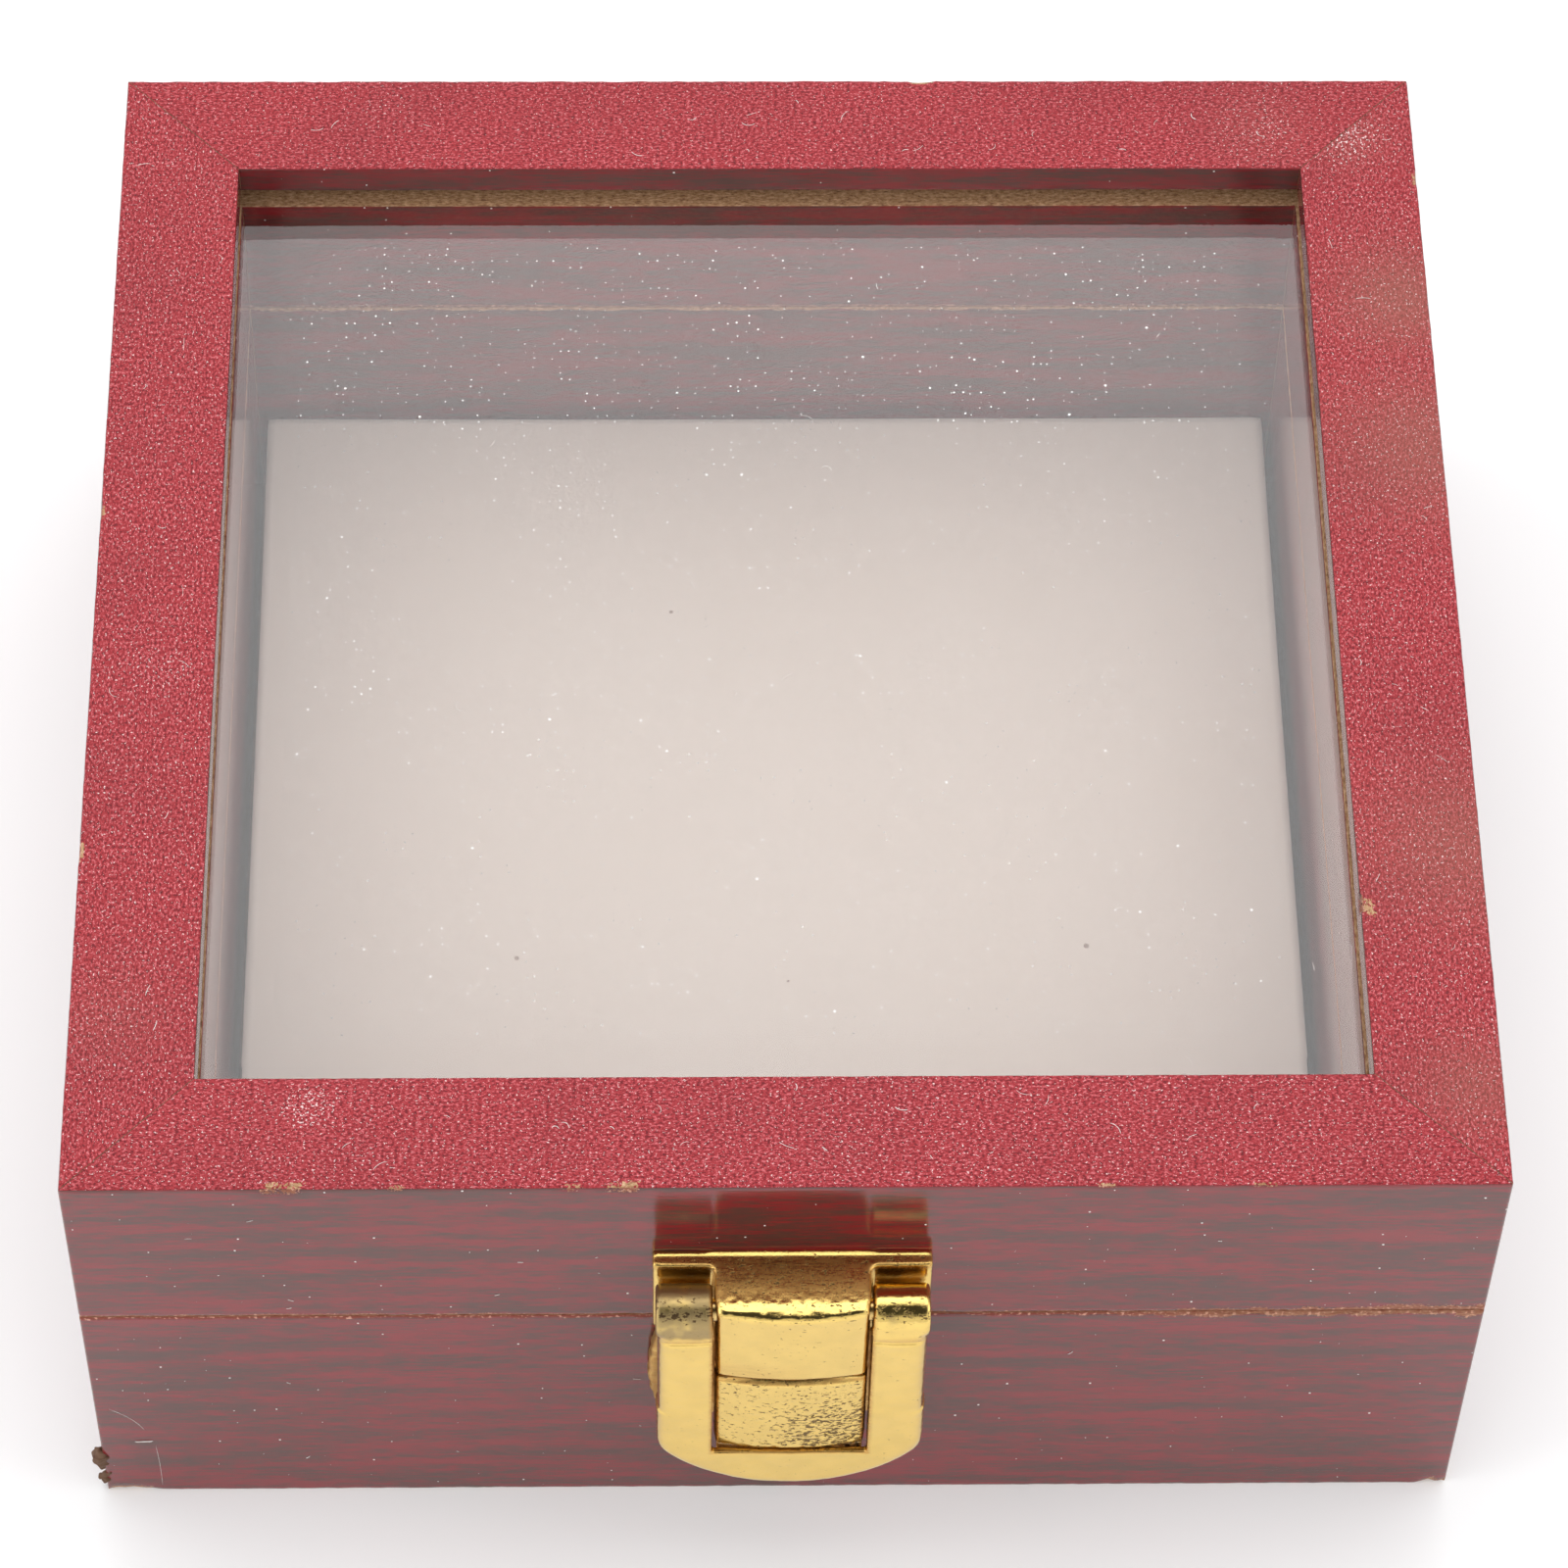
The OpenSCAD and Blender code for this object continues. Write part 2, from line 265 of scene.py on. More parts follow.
FIBRE_ROUGHNESS = 0.85


def fibre_colour(tree, skin):
    """Colour of raw fibreboard."""
    grain = noise(tree, stretched(tree, skin, (0.4, 1, 1)), 5.0, 4.0, 0.7)
    light = mix(tree, step_up(tree, grain, 0.45, 0.75), FIBRE, FIBRE_LIGHT)
    return mix(tree, step_up(tree, grain, 0.48, 0.28), light, FIBRE_DARK)


def worn_share(tree, skin, bare):
    """Where the film is gone: the marked places with a ragged rim."""
    ragged = step_up(tree, noise(tree, skin, 4.5), 0.3, 0.7, -0.25, 0.25)
    return step_up(tree, plus(tree, bare, ragged), 0.45, 0.58)


def raw_fibre(name, grime, tint=GRIME):
    """Sawn or torn fibreboard, tinted by grime or dye."""
    mat, tree, shader = new_material(name)
    skin = stored(tree, "skin")
    dark = mix(tree, grime, fibre_colour(tree, skin), tint)
    fill(tree, shader, {"Base Color": dark, "Roughness": FIBRE_ROUGHNESS})
    bump(tree, shader, noise(tree, skin, 6.0, 3.0, 0.6), 0.06)
    return mat


def film_side():
    """Glossy printed wood-grain film of the faces and the inside, worn to fibre where marked."""
    mat, tree, shader = new_material("wood_grain_film")
    skin = stored(tree, "skin")
    wear = split(tree, stored(tree, "wear"))
    fine = noise(tree, stretched(tree, skin, (0.10, 1, 1)), 4.2, 4.0, 0.65)
    broad = noise(tree, stretched(tree, skin, (0.10, 1, 1)), 0.6, 2.0, 0.5)
    hairs = noise(tree, stretched(tree, skin, (0.03, 1, 1)), 11.0, 2.0, 0.6)
    grain = plus(tree, times(tree, fine, 0.45), times(tree, broad, 0.35))
    grain = plus(tree, grain, times(tree, hairs, 0.20))
    red = mix(tree, step_up(tree, grain, 0.40, 0.52), FILM_RED, FILM_WINE)
    wood = mix(tree, step_up(tree, grain, 0.45, 0.60), red, FILM_DARK)
    bare = worn_share(tree, skin, wear[0])
    flecks = step_up(tree, noise(tree, skin, 3.0), 0.56, 0.66, 0.0, 0.9)
    stained = mix(tree, flecks, STAINED, FLECK)
    fibre = mix(tree, wear[2], stained, fibre_colour(tree, skin))
    dusty = specks(tree, skin, 1.6, 0.085, 0.26)
    clean = mix(tree, bare, wood, fibre)
    dull = math_node(tree, "MAXIMUM", bare, dusty)
    fill(tree, shader, {"Base Color": mix(tree, dusty, clean, DUST),
                        "Roughness": step_up(tree, dull, 0.0, 1.0, 0.12, FIBRE_ROUGHNESS),
                        "Specular IOR Level": 0.64})
    bump(tree, shader, fine, 0.008, 0.5)
    return mat


def film_top():
    """Fine-grained film of the lid's top, rubbed where marked, dark along the mitres, with pale
    specks that are dust and painted glints, more where scuffed.
    """
    mat, tree, shader = new_material("grained_top_film")
    skin = stored(tree, "skin")
    wear = split(tree, stored(tree, "wear"))
    grain = noise(tree, stretched(tree, skin, (0.6, 1, 1)), 5.6, 3.0, 0.75)
    glint = noise(tree, stretched(tree, skin, (0.8, 1, 1)), 5.2, 2.0, 0.7)
    cloud = noise(tree, skin, 0.09, 3.0, 0.5)
    red = mix(tree, step_up(tree, grain, 0.49, 0.37), TOP_RED, TOP_DARK)
    red = mix(tree, step_up(tree, grain, 0.54, 0.68), red, TOP_PINK)
    red = mix(tree, step_up(tree, cloud, 0.35, 0.75, 0.0, 0.16), red, TOP_DARK)
    red = mix(tree, times(tree, wear[1], 0.60), red, RUBBED)
    # Pale specks of GLINT colour: dust and painted glints, more where the top is scuffed.
    level = minus(tree, 0.73, times(tree, wear[2], 0.15))
    white = step_up(tree, minus(tree, glint, level), 0.0, 0.02)
    red = mix(tree, white, red, GLINT)
    broken = noise(tree, skin, 1.6)
    line = step_up(tree, split(tree, skin)[2], 0.10 * MM, 0.03 * MM)
    line = times(tree, line, step_up(tree, broken, 0.35, 0.55, 0.25, 0.9))
    red = mix(tree, line, red, MITRE_DARK)
    bare = worn_share(tree, skin, wear[0])
    fill(tree, shader, {"Base Color": mix(tree, bare, red, fibre_colour(tree, skin)),
                        "Roughness": step_up(tree, grain, 0.3, 0.7, 0.70, 0.45),
                        "Specular IOR Level": 0.35})
    bump(tree, shader, grain, 0.04, 0.6)
    return mat


def marked_gold(name, tint, pits):
    """Polished gold plating on a casting, with pits, tarnish and brown where marked; the brown is
    mostly painted shade and painted reflection.
    """
    mat, tree, shader = new_material(name)
    place = object_place(tree)
    marks = split(tree, stored(tree, "marks"))
    fine = noise(tree, place, 4.2, 3.0, 0.7, "3D")
    broad = noise(tree, place, 0.6, 2.0, 0.5, "3D")
    flecks = noise(tree, stretched(tree, place, (0.6, 1, 1.3)), 3.8, 3.0, 0.65, "3D")
    level = minus(tree, 0.72, times(tree, marks[0], pits))
    pit = step_up(tree, minus(tree, flecks, level), 0.0, 0.03)
    worn = step_up(tree, plus(tree, marks[1], minus(tree, broad, 0.5)), 0.35, 0.75)
    colour = mix(tree, step_up(tree, broad, 0.3, 0.7), tint, tuple(0.94 * c for c in tint))
    colour = mix(tree, times(tree, worn, 0.75), colour, (0.27, 0.20, 0.12))
    lines = noise(tree, stretched(tree, place, (0.12, 1, 1)), 4.0, 3.0, 0.7, "3D")
    # marks[2] paints brown: painted shade in the gaps, the crease and the groove, painted reflection
    # on upward ledges, and brown on the striker's plate and a smear.
    brown_and_shade = times(tree, marks[2], step_up(tree, lines, 0.35, 0.68, 1.0, 0.45))
    colour = mix(tree, times(tree, brown_and_shade, 0.9), colour, (0.56, 0.30, 0.09))
    colour = mix(tree, times(tree, pit, 0.85), colour, (0.07, 0.035, 0.02))
    rough = plus(tree, step_up(tree, fine, 0.3, 0.7, 0.10, 0.18),
                 times(tree, math_node(tree, "MAXIMUM", pit, worn), 0.3))
    rough = plus(tree, rough, times(tree, brown_and_shade, 0.24))
    fill(tree, shader, {"Base Color": colour, "Metallic": 1.0, "Roughness": rough})
    bump(tree, shader, minus(tree, fine, pit), 0.03, 0.35)
    return mat


def plain_brass():
    """Polished brass plating of the hinges and screws."""
    mat, tree, shader = new_material("hinge_brass")
    place = object_place(tree)
    fine = noise(tree, stretched(tree, place, (0.2, 1, 1)), 6.0, 3.0, 0.6, "3D")
    broad = noise(tree, place, 0.5, 3.0, 0.6, "3D")
    colour = mix(tree, step_up(tree, broad, 0.35, 0.7), (0.78, 0.56, 0.22), (0.64, 0.44, 0.17))
    rough = step_up(tree, fine, 0.3, 0.7, 0.2, 0.34)
    fill(tree, shader, {"Base Color": colour, "Metallic": 1.0, "Roughness": rough})
    bump(tree, shader, fine, 0.01, 0.5)
    return mat


def pad_cover():
    """Off-white napped cover of the display pad."""
    mat, tree, shader = new_material("off_white_nap")
    place = object_place(tree)
    nap = noise(tree, place, 7.0, 3.0, 0.7, "3D")
    cloud = noise(tree, place, 0.05, 3.0, 0.5, "3D")
    colour = mix(tree, step_up(tree, nap, 0.3, 0.7), (0.583, 0.512, 0.450), (0.623, 0.553, 0.485))
    colour = mix(tree, step_up(tree, cloud, 0.4, 0.8, 0.0, 0.25), colour, (0.568, 0.482, 0.405))
    fleck = specks(tree, place, 11.0, 0.22, 0.30)
    fill(tree, shader, {"Base Color": mix(tree, fleck, colour, (0.28, 0.20, 0.16)),
                        "Roughness": 0.92, "Sheen Weight": 0.25, "Sheen Roughness": 0.5})
    bump(tree, shader, nap, 0.015, 0.4)
    return mat


def hardboard():
    """Plain brown hardboard of the bottom panel."""
    mat, tree, shader = new_material("hardboard")
    place = object_place(tree)
    fibres = noise(tree, place, 2.5, 5.0, 0.7, "3D")
    blotch = noise(tree, place, 0.08, 3.0, 0.5, "3D")
    colour = mix(tree, step_up(tree, fibres, 0.35, 0.7), (0.15, 0.075, 0.038), (0.29, 0.17, 0.09))
    colour = mix(tree, step_up(tree, blotch, 0.4, 0.7, 0.0, 0.5), colour, (0.19, 0.11, 0.06))
    fill(tree, shader, {"Base Color": colour,
                        "Roughness": step_up(tree, fibres, 0.3, 0.7, 0.6, 0.8)})
    bump(tree, shader, fibres, 0.05, 0.6)
    return mat


def pane_glass():
    """Clear float glass that lets lamps through, with fine dust lying on its upper face."""
    mat, tree, shader = new_material("float_glass")
    place = object_place(tree)
    fill(tree, shader, {"Base Color": (0.99, 0.975, 0.975), "Transmission Weight": 1.0,
                        "Roughness": 0.0, "IOR": 1.5})
    open_way = add(tree, "BsdfTransparent", {"Color": (0.94, 0.935, 0.935)})
    rays = add(tree, "LightPath")
    dust = add(tree, "BsdfDiffuse", {"Color": (0.82, 0.80, 0.78)})
    on_top = math_node(tree, "GREATER_THAN", split(tree, place)[2], pane_high.z - 0.02 * MM)
    patches = step_up(tree, noise(tree, place, 0.09, 3.0, 0.6), 0.40, 0.60, 0.35, 1.0)
    small = times(tree, specks(tree, place, 0.68, 0.085, 0.5), patches)
    large = specks(tree, place, 2.8, 0.11, 0.5)
    share = math_node(tree, "MAXIMUM", math_node(tree, "MAXIMUM", small, large), 0.014)
    share = times(tree, share, on_top)
    passing = add(tree, "MixShader", {0: rays.outputs["Is Shadow Ray"], 1: shader.outputs[0],
                                      2: open_way.outputs[0]})
    dusty = add(tree, "MixShader", {0: share, 1: passing.outputs[0], 2: dust.outputs[0]})
    out = next(n for n in tree.nodes if n.type == "OUTPUT_MATERIAL")
    tree.links.new(dusty.outputs[0], out.inputs[0])
    return mat


def lint_white():
    """Pale lint and dust fibres."""
    mat, tree, shader = new_material("pale_lint")
    place = object_place(tree)
    tone = noise(tree, place, 3.0, 2.0, 0.5, "3D")
    colour = mix(tree, step_up(tree, tone, 0.4, 0.6), (0.75, 0.68, 0.64), (0.9, 0.88, 0.85))
    fill(tree, shader, {"Base Color": colour, "Roughness": 0.9})
    return mat


SIDE = film_side()
TOP = film_top()
RAW = raw_fibre("raw_fibreboard", 0.0)
DYED = raw_fibre("dyed_fibreboard", 0.6, STAINED)
BRASS = plain_brass()


# ---- boards ---------------------------------------------------------------------------------
LONG_EDGE_R = 0.16 * MM  # rounding of the long edges
UPRIGHT_R = 0.22 * MM  # rounding of the upright outer corners
MITRE_GAP = 0.015 * MM
EDGE_STOPS = [0.12 * MM, 0.3 * MM, 0.6 * MM, 1.1 * MM]  # places of points beside an edge
SECTION_STEP = 1.1 * MM
FILM, CROWN, SAWN, SEAM = 0, 1, 2, 3  # numbers of the materials in BOARD_MATERIALS
BOARD_MATERIALS = [SIDE, TOP, RAW, DYED]


def rounded_outline(corners, radius, near, spacing):
    """Points round a board's cross-section of (depth, height) corners in order.

    Each corner is an arc of the given radius, and each flat has points near its ends and then
    at the spacing. Returns the points, the way each arc point is pulled when its edge is worn,
    its corner number (-1 on a flat), and which flat each point starts."""
    points, pull, flats, on_corner = [], [], [], []
    count = len(corners)
    corners = [np.array(c, float) for c in corners]
    for i, here in enumerate(corners):
        before = corners[i - 1] - here
        after = corners[(i + 1) % count] - here
        before, length = before / np.linalg.norm(before), np.linalg.norm(after)
        after = after / length
        bisector = -(before + after) / np.sqrt(2)
        for k in range(5):
            a = math.radians(90 * k / 4)
            p = here + radius * (before * (1 - math.sin(a)) + after * (1 - math.cos(a)))
            points.append(p)
            pull.append(-bisector * math.sin(2 * a) ** 0.5 if 0 < k < 4 else -bisector * 0.25)
            on_corner.append(i)
            flats.append(i if k >= 2 else (i - 1) % count)
        stops = [d for d in near if 2 * d < length - 2 * radius]
        inner = length - 2 * radius - (2 * stops[-1] if stops else 0)
        middle = max(1, int(round(inner / spacing)))
        first = stops[-1] if stops else 0
        along = stops + [first + inner * j / middle for j in range(1, middle)]
        along += [length - 2 * radius - d for d in reversed(stops)]
        for d in along:
            points.append(here + after * (radius + d))
            pull.append(np.zeros(2))
            on_corner.append(-1)
            flats.append(i)
    return np.array(points), np.array(pull), np.array(on_corner), np.array(flats)


def stations(half):
    """Places along a board as distances from its middle, closer together near both ends."""
    end = [0.02, 0.08, 0.16, 0.28, 0.45, 0.7, 1.1, 1.7]
    run = list(np.arange(2.3, (half / MM), 0.45))
    side = np.array([half - e * MM for e in end + run if half - e * MM > 0.1 * MM])
    return np.concatenate([-side, side[::-1]])


def wear_edges(cut, on_corner, along, rough, ragged):
    """Wears the long edges by a depth that wanders along them."""
    place = along / MM
    for j, corner in enumerate(on_corner):
        if corner >= 0:
            wave = 0.6 * ragged(place * 1.1, corner * 3.3)
            wave = wave + 0.4 * ragged(place * 2.9, corner * 3.3 + 9)
            cut[:, j] += rough(corner, along) * np.clip(0.5 + wave, 0, 1.3)


def break_chips(cut, bare, section, corners, along, chips, ragged):
    """Breaks chips out of the long edges, and bares the fibre round each."""
    for corner, *sizes in chips:
        place, half_length, deep = (v * MM for v in sizes)
        reach = np.clip(1 - ((along - place) / half_length) ** 2, 0, 1) ** 0.5
        reach = reach * (0.75 + 0.45 * ragged(along / MM * 1.7, 5 + place / MM))
        target = np.array(corners[corner], float)
        for j, point in enumerate(section):
            hold = np.clip(1 - np.linalg.norm(point - target) / (deep * 1.6), 0, 1)
            cut[:, j] += reach * deep * hold * 0.55
            bare[:, j] = np.maximum(bare[:, j], reach * smoothstep(0, 0.4, hold))


def fray(bare, s, depth, height, seam, ragged):
    """Bares the fibre beside the sawn seam, more to the right; also gives how pale it is."""
    to_right = smoothstep(0.018, 0.036, s)
    inside = depth > WALL / 2
    spread = np.where(inside, 0.17, 0.17 + 0.30 * to_right) * MM
    spread = spread * (1 + 0.7 * ragged(s / MM * 0.8, 31.0))
    from_seam = np.abs(height - seam) / spread
    pale = np.where(from_seam < 2, np.where(inside, 0.8, 0.4 * to_right), 0.75)
    return np.maximum(bare, 1.15 * smoothstep(1.5, 0.5, from_seam)), pale


def worn_directions(section, pull, on_corner):
    """The unit direction in which each point of a cross-section gives way."""
    direction = np.zeros((len(section), 2))
    middle = section.mean(0)
    for j, p in enumerate(section):
        v = pull[j] if on_corner[j] >= 0 else np.sign(middle - p) * 0.7
        direction[j] = v / (np.linalg.norm(v) + 1e-9)
    return direction


def mitre(s, depth):
    """Shortens a board towards its inside, and draws its upright outer corners onto an arc."""
    limit = HALF - depth
    s = np.clip(s * (limit / HALF), -limit + MITRE_GAP, limit - MITRE_GAP)
    e = HALF - np.abs(s)
    zone = (e < UPRIGHT_R) & (depth < UPRIGHT_R)
    far = np.hypot(UPRIGHT_R - e, UPRIGHT_R - depth)
    scale = np.where(zone & (far > UPRIGHT_R), UPRIGHT_R / np.maximum(far, 1e-9), 1.0)
    s = np.where(zone, np.sign(s) * (HALF - UPRIGHT_R + (UPRIGHT_R - e) * scale), s)
    return s, np.where(zone, UPRIGHT_R - (UPRIGHT_R - depth) * scale, depth)


def swept_faces(rows, cols, flats, skins):
    """The quads round a swept cross-section and its two ends, with a material number each."""
    ids = np.arange(rows * cols).reshape(rows, cols)
    faces, numbers = [], []
    for j in range(cols):
        k = (j + 1) % cols
        quads = np.stack([ids[:-1, j], ids[1:, j], ids[1:, k], ids[:-1, k]], -1)
        faces.extend(quads.tolist())
        numbers.extend([skins[flats[j]]] * len(quads))
    return faces + [ids[0, :].tolist(), ids[-1, ::-1].tolist()], numbers + [SAWN, SAWN]


def board(name, body, node, turn, corners, skins, index, chips, rough, seam, marks=None):
    """One mitred board: its cross-section swept along the side that turn (degrees) faces.

    corners: (depth, height) of the cross-section; skins: a material number per flat; index: the
    board's own number. chips: (corner, place, half length, depth) in millimetres of chips broken
    out of the long edges. rough: a function of the corner number and the place along that gives
    how ragged that edge is. seam: the height of the sawn seam. marks: a function of the place
    along and the depth that gives rubbing and scuffing of the top."""
    section, pull, on_corner, flats = rounded_outline(corners, LONG_EDGE_R, EDGE_STOPS, SECTION_STEP)
    steps = np.concatenate([[0], np.cumsum(np.linalg.norm(np.diff(section, axis=0), axis=1))])
    along = stations(HALF)
    ragged = lattice_noise(100 + index)
    s = np.repeat(along[:, None], len(section), 1)
    depth = np.repeat(section[None, :, 0], len(along), 0)
    height = np.repeat(section[None, :, 1], len(along), 0)
    cut, bare = np.zeros(s.shape), np.zeros(s.shape)
    wear_edges(cut, on_corner, along, rough, ragged)
    break_chips(cut, bare, section, corners, along, chips, ragged)
    bare, pale = fray(bare, s, depth, height, seam, ragged)
    direction = worn_directions(section, pull, on_corner)
    depth = depth + cut * direction[None, :, 0]
    height = height + cut * direction[None, :, 1]
    s, depth = mitre(s, depth)
    rub, scuff = marks(s, depth) if marks else (np.zeros(s.shape), pale)
    y, a = depth - HALF, math.radians(turn)
    sin, cos = math.sin(a), math.cos(a)
    world = np.stack([s * cos - y * sin, s * sin + y * cos, height], -1)
    faces, numbers = swept_faces(*s.shape, flats, skins)
    piece = mesh_object(name, world.reshape(-1, 3), faces, BOARD_MATERIALS, numbers)
    round_it = np.repeat(steps[None, :], len(s), 0)
    skin = np.stack([s + 0.37 * index, round_it, HALF - depth - np.abs(s)], -1)
    store(piece, "skin", skin.reshape(-1, 3))
    store(piece, "wear", np.stack([bare, rub, scuff], -1).reshape(-1, 3))
    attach(piece, body)
    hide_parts(node)
    return piece


BASE_SECTION = [(0, 0), (0, BASE_TOP + SEAM_FILL), (WALL, BASE_TOP + SEAM_FILL), (WALL, FLOOR_T),
                (WALL - REBATE, FLOOR_T), (WALL - REBATE, 0)]
BASE_SKINS = [FILM, SEAM, FILM, SAWN, SAWN, SAWN]
KERF_TOP = LID_TOP - LIP
LID_SECTION = [(0, LID_LOW - SEAM_FILL), (0, LID_TOP), (WALL, LID_TOP), (WALL, KERF_TOP),
               (WALL - KERF_DEPTH, KERF_TOP), (WALL - KERF_DEPTH, KERF_TOP - KERF),
               (WALL, KERF_TOP - KERF), (WALL, LID_LOW - SEAM_FILL)]
LID_SKINS = [FILM, CROWN, FILM, SAWN, SAWN, SAWN, FILM, SEAM]


def seam_rough(place):
    """How ragged the outer edge of the sawn seam is: more to the right."""
    return (0.05 + 0.12 * smoothstep(-0.02, 0.05, place)) * MM


def wall_rough(corner, place):
    """How ragged each edge of a base wall is: the seam's outer edge most."""
    return seam_rough(place) if corner == 1 else 0.03 * MM


def rail_rough(corner, place):
    """How ragged each edge of a lid rail is: the seam's outer edge most, then the top's."""
    return seam_rough(place) if corner == 0 else (0.06 if corner == 1 else 0.03) * MM


def top_marks(dusty, spots):
    """Rubbed and scuffed places on a rail's top: place, depth and radius in millimetres, then
    how much it is rubbed and scuffed there. The scuff also raises the top's painted glints."""
    def at(s, depth):
        rub, scuff = np.zeros(s.shape), dusty * np.ones(s.shape)
        for *sizes, rubbed, scuffed in spots:
            place, deep, radius = (v * MM for v in sizes)
            near = np.exp(-((s - place) ** 2 + (depth - deep) ** 2) / radius ** 2)
            rub, scuff = np.maximum(rub, rubbed * near), np.maximum(scuff, scuffed * near)
        return rub, scuff
    return at


def carry_over(old, new, name):
    """Gives each point of a recut mesh the vector stored on the nearest point of the uncut one."""
    tree = KDTree(len(old.vertices))
    for i, v in enumerate(old.vertices):
        tree.insert(v.co, i)
    tree.balance()
    nearest = [tree.find(v.co)[1] for v in new.vertices]
    values = np.zeros(3 * len(old.vertices), np.float32)
    old.attributes[name].data.foreach_get("vector", values)
    new.attributes[name].data.foreach_set("vector", values.reshape(-1, 3)[nearest].ravel())


def carve(piece, low, high):
    """Cuts a box out of a board; the cut shows raw fibre."""
    points = [(x, y, z) for x in (low[0], high[0]) for y in (low[1], high[1])
              for z in (low[2], high[2])]
    faces = [(0, 1, 3, 2), (4, 6, 7, 5), (0, 4, 5, 1), (2, 3, 7, 6), (0, 2, 6, 4), (1, 5, 7, 3)]
    cutter = mesh_object("cutter", points, faces, BOARD_MATERIALS, [SAWN] * 6, smooth=False)
    cut = piece.modifiers.new("recess", "BOOLEAN")
    cut.operation = "DIFFERENCE"
    cut.solver = "EXACT"
    cut.object = cutter
    bpy.context.view_layer.update()
    graph = bpy.context.evaluated_depsgraph_get()
    mesh = bpy.data.meshes.new_from_object(piece.evaluated_get(graph), depsgraph=graph,
                                           preserve_all_data_layers=True)
    piece.modifiers.clear()
    for name in ("skin", "wear"):
        carry_over(piece.data, mesh, name)
    piece.data = mesh
    bpy.data.objects.remove(cutter)


def carve_recess(piece, leaf, low, high):
    """Cuts the recess that a hinge leaf lies in, between two heights."""
    leaf_low, leaf_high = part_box(leaf)
    carve(piece, (leaf_low.x - LEAF_FIT, leaf_low.y - LEAF_FIT, low),
          (leaf_high.x + LEAF_FIT, HALF + 1 * MM, high))


LEAF_T = 0.8 * MM  # thickness of a hinge leaf
LEAF_FIT = 0.05 * MM
SIDES = {"front": 0, "right": 90, "back": 180, "left": 270}
# Chips of each side as (corner, place, half length, depth), in millimetres.
LID_CHIPS = {
    "front": [(1, -34.8, 1.6, 0.45), (1, -14.8, 0.9, 0.36),
              (1, -11.4, 1.3, 0.40), (1, 22, 0.7, 0.2),
              (1, -27, 0.7, 0.22), (1, 33, 0.9, 0.2)],
    "right": [(2, -32.6, 1.0, 0.8), (1, 40, 0.8, 0.3)],
    "back": [(1, -12, 0.9, 0.3)],
    "left": [(1, 22, 1.0, 0.3), (1, -8, 0.6, 0.3)],
}
WALL_CHIPS = {
    "front": [(0, -48.5, 2.2, 0.5), (0, 49.2, 1.2, 0.6)],
    "right": [(0, -49, 1.5, 0.5)],
    "back": [(0, 30, 1.5, 0.3)],
    "left": [(0, 47, 2.5, 0.5)],
}
# How dusty each rail's top is; this also sets how many painted glints it shows.
TOP_DUST_AND_GLINTS = {"front": 0.30, "right": 0.28, "back": 0.12, "left": 0.30}
# Rubbed places of each rail's top as (place, depth, radius, rubbed, scuffed).
TOP_SPOTS = {
    "front": [(-33, 6.6, 2.2, 0.0, 1.0), (4, 3, 3.5, 0.0, 0.5)],
    "right": [(28, 2.0, 5, 0.9, 0.3), (14, 1.0, 7, 0.8, 0.2),
              (-22, 1.0, 7, 0.7, 0.2), (-42, 2.0, 4, 0.6, 0.2),
              (44, 5, 3, 0.3, 0.9)],
    "back": [(-38, 5, 4, 0.2, 0.5), (30, 3, 3, 0.0, 0.4)],
    "left": [(6, 5, 4, 0.0, 0.5), (36, 3, 4, 0.2, 0.4)],
}


def make_boards():
    """The four base walls and the four lid rails, recessed for the hinges at the back."""
    shells = {}
    for i, (side, turn) in enumerate(SIDES.items()):
        wall = board(f"{side}_wall_shell", "tray", f"base_{side}_wall", turn, BASE_SECTION,
                     BASE_SKINS, i, WALL_CHIPS[side], wall_rough, BASE_TOP)
        rail = board(f"{side}_rail_shell", "lid", f"lid_{side}_rail", turn, LID_SECTION,
                     LID_SKINS, 4 + i, LID_CHIPS[side], rail_rough, LID_LOW,
                     top_marks(TOP_DUST_AND_GLINTS[side], TOP_SPOTS[side]))
        shells[side] = wall, rail
    wall, rail = shells["back"]
    for side in ("left", "right"):
        carve_recess(wall, f"hinge_base_leaf_{side}", BASE_TOP - LEAF_T - LEAF_FIT,
                     BASE_TOP + 1 * MM)
        carve_recess(rail, f"hinge_lid_leaf_{side}", LID_LOW - 1 * MM, LID_LOW + LEAF_T + LEAF_FIT)


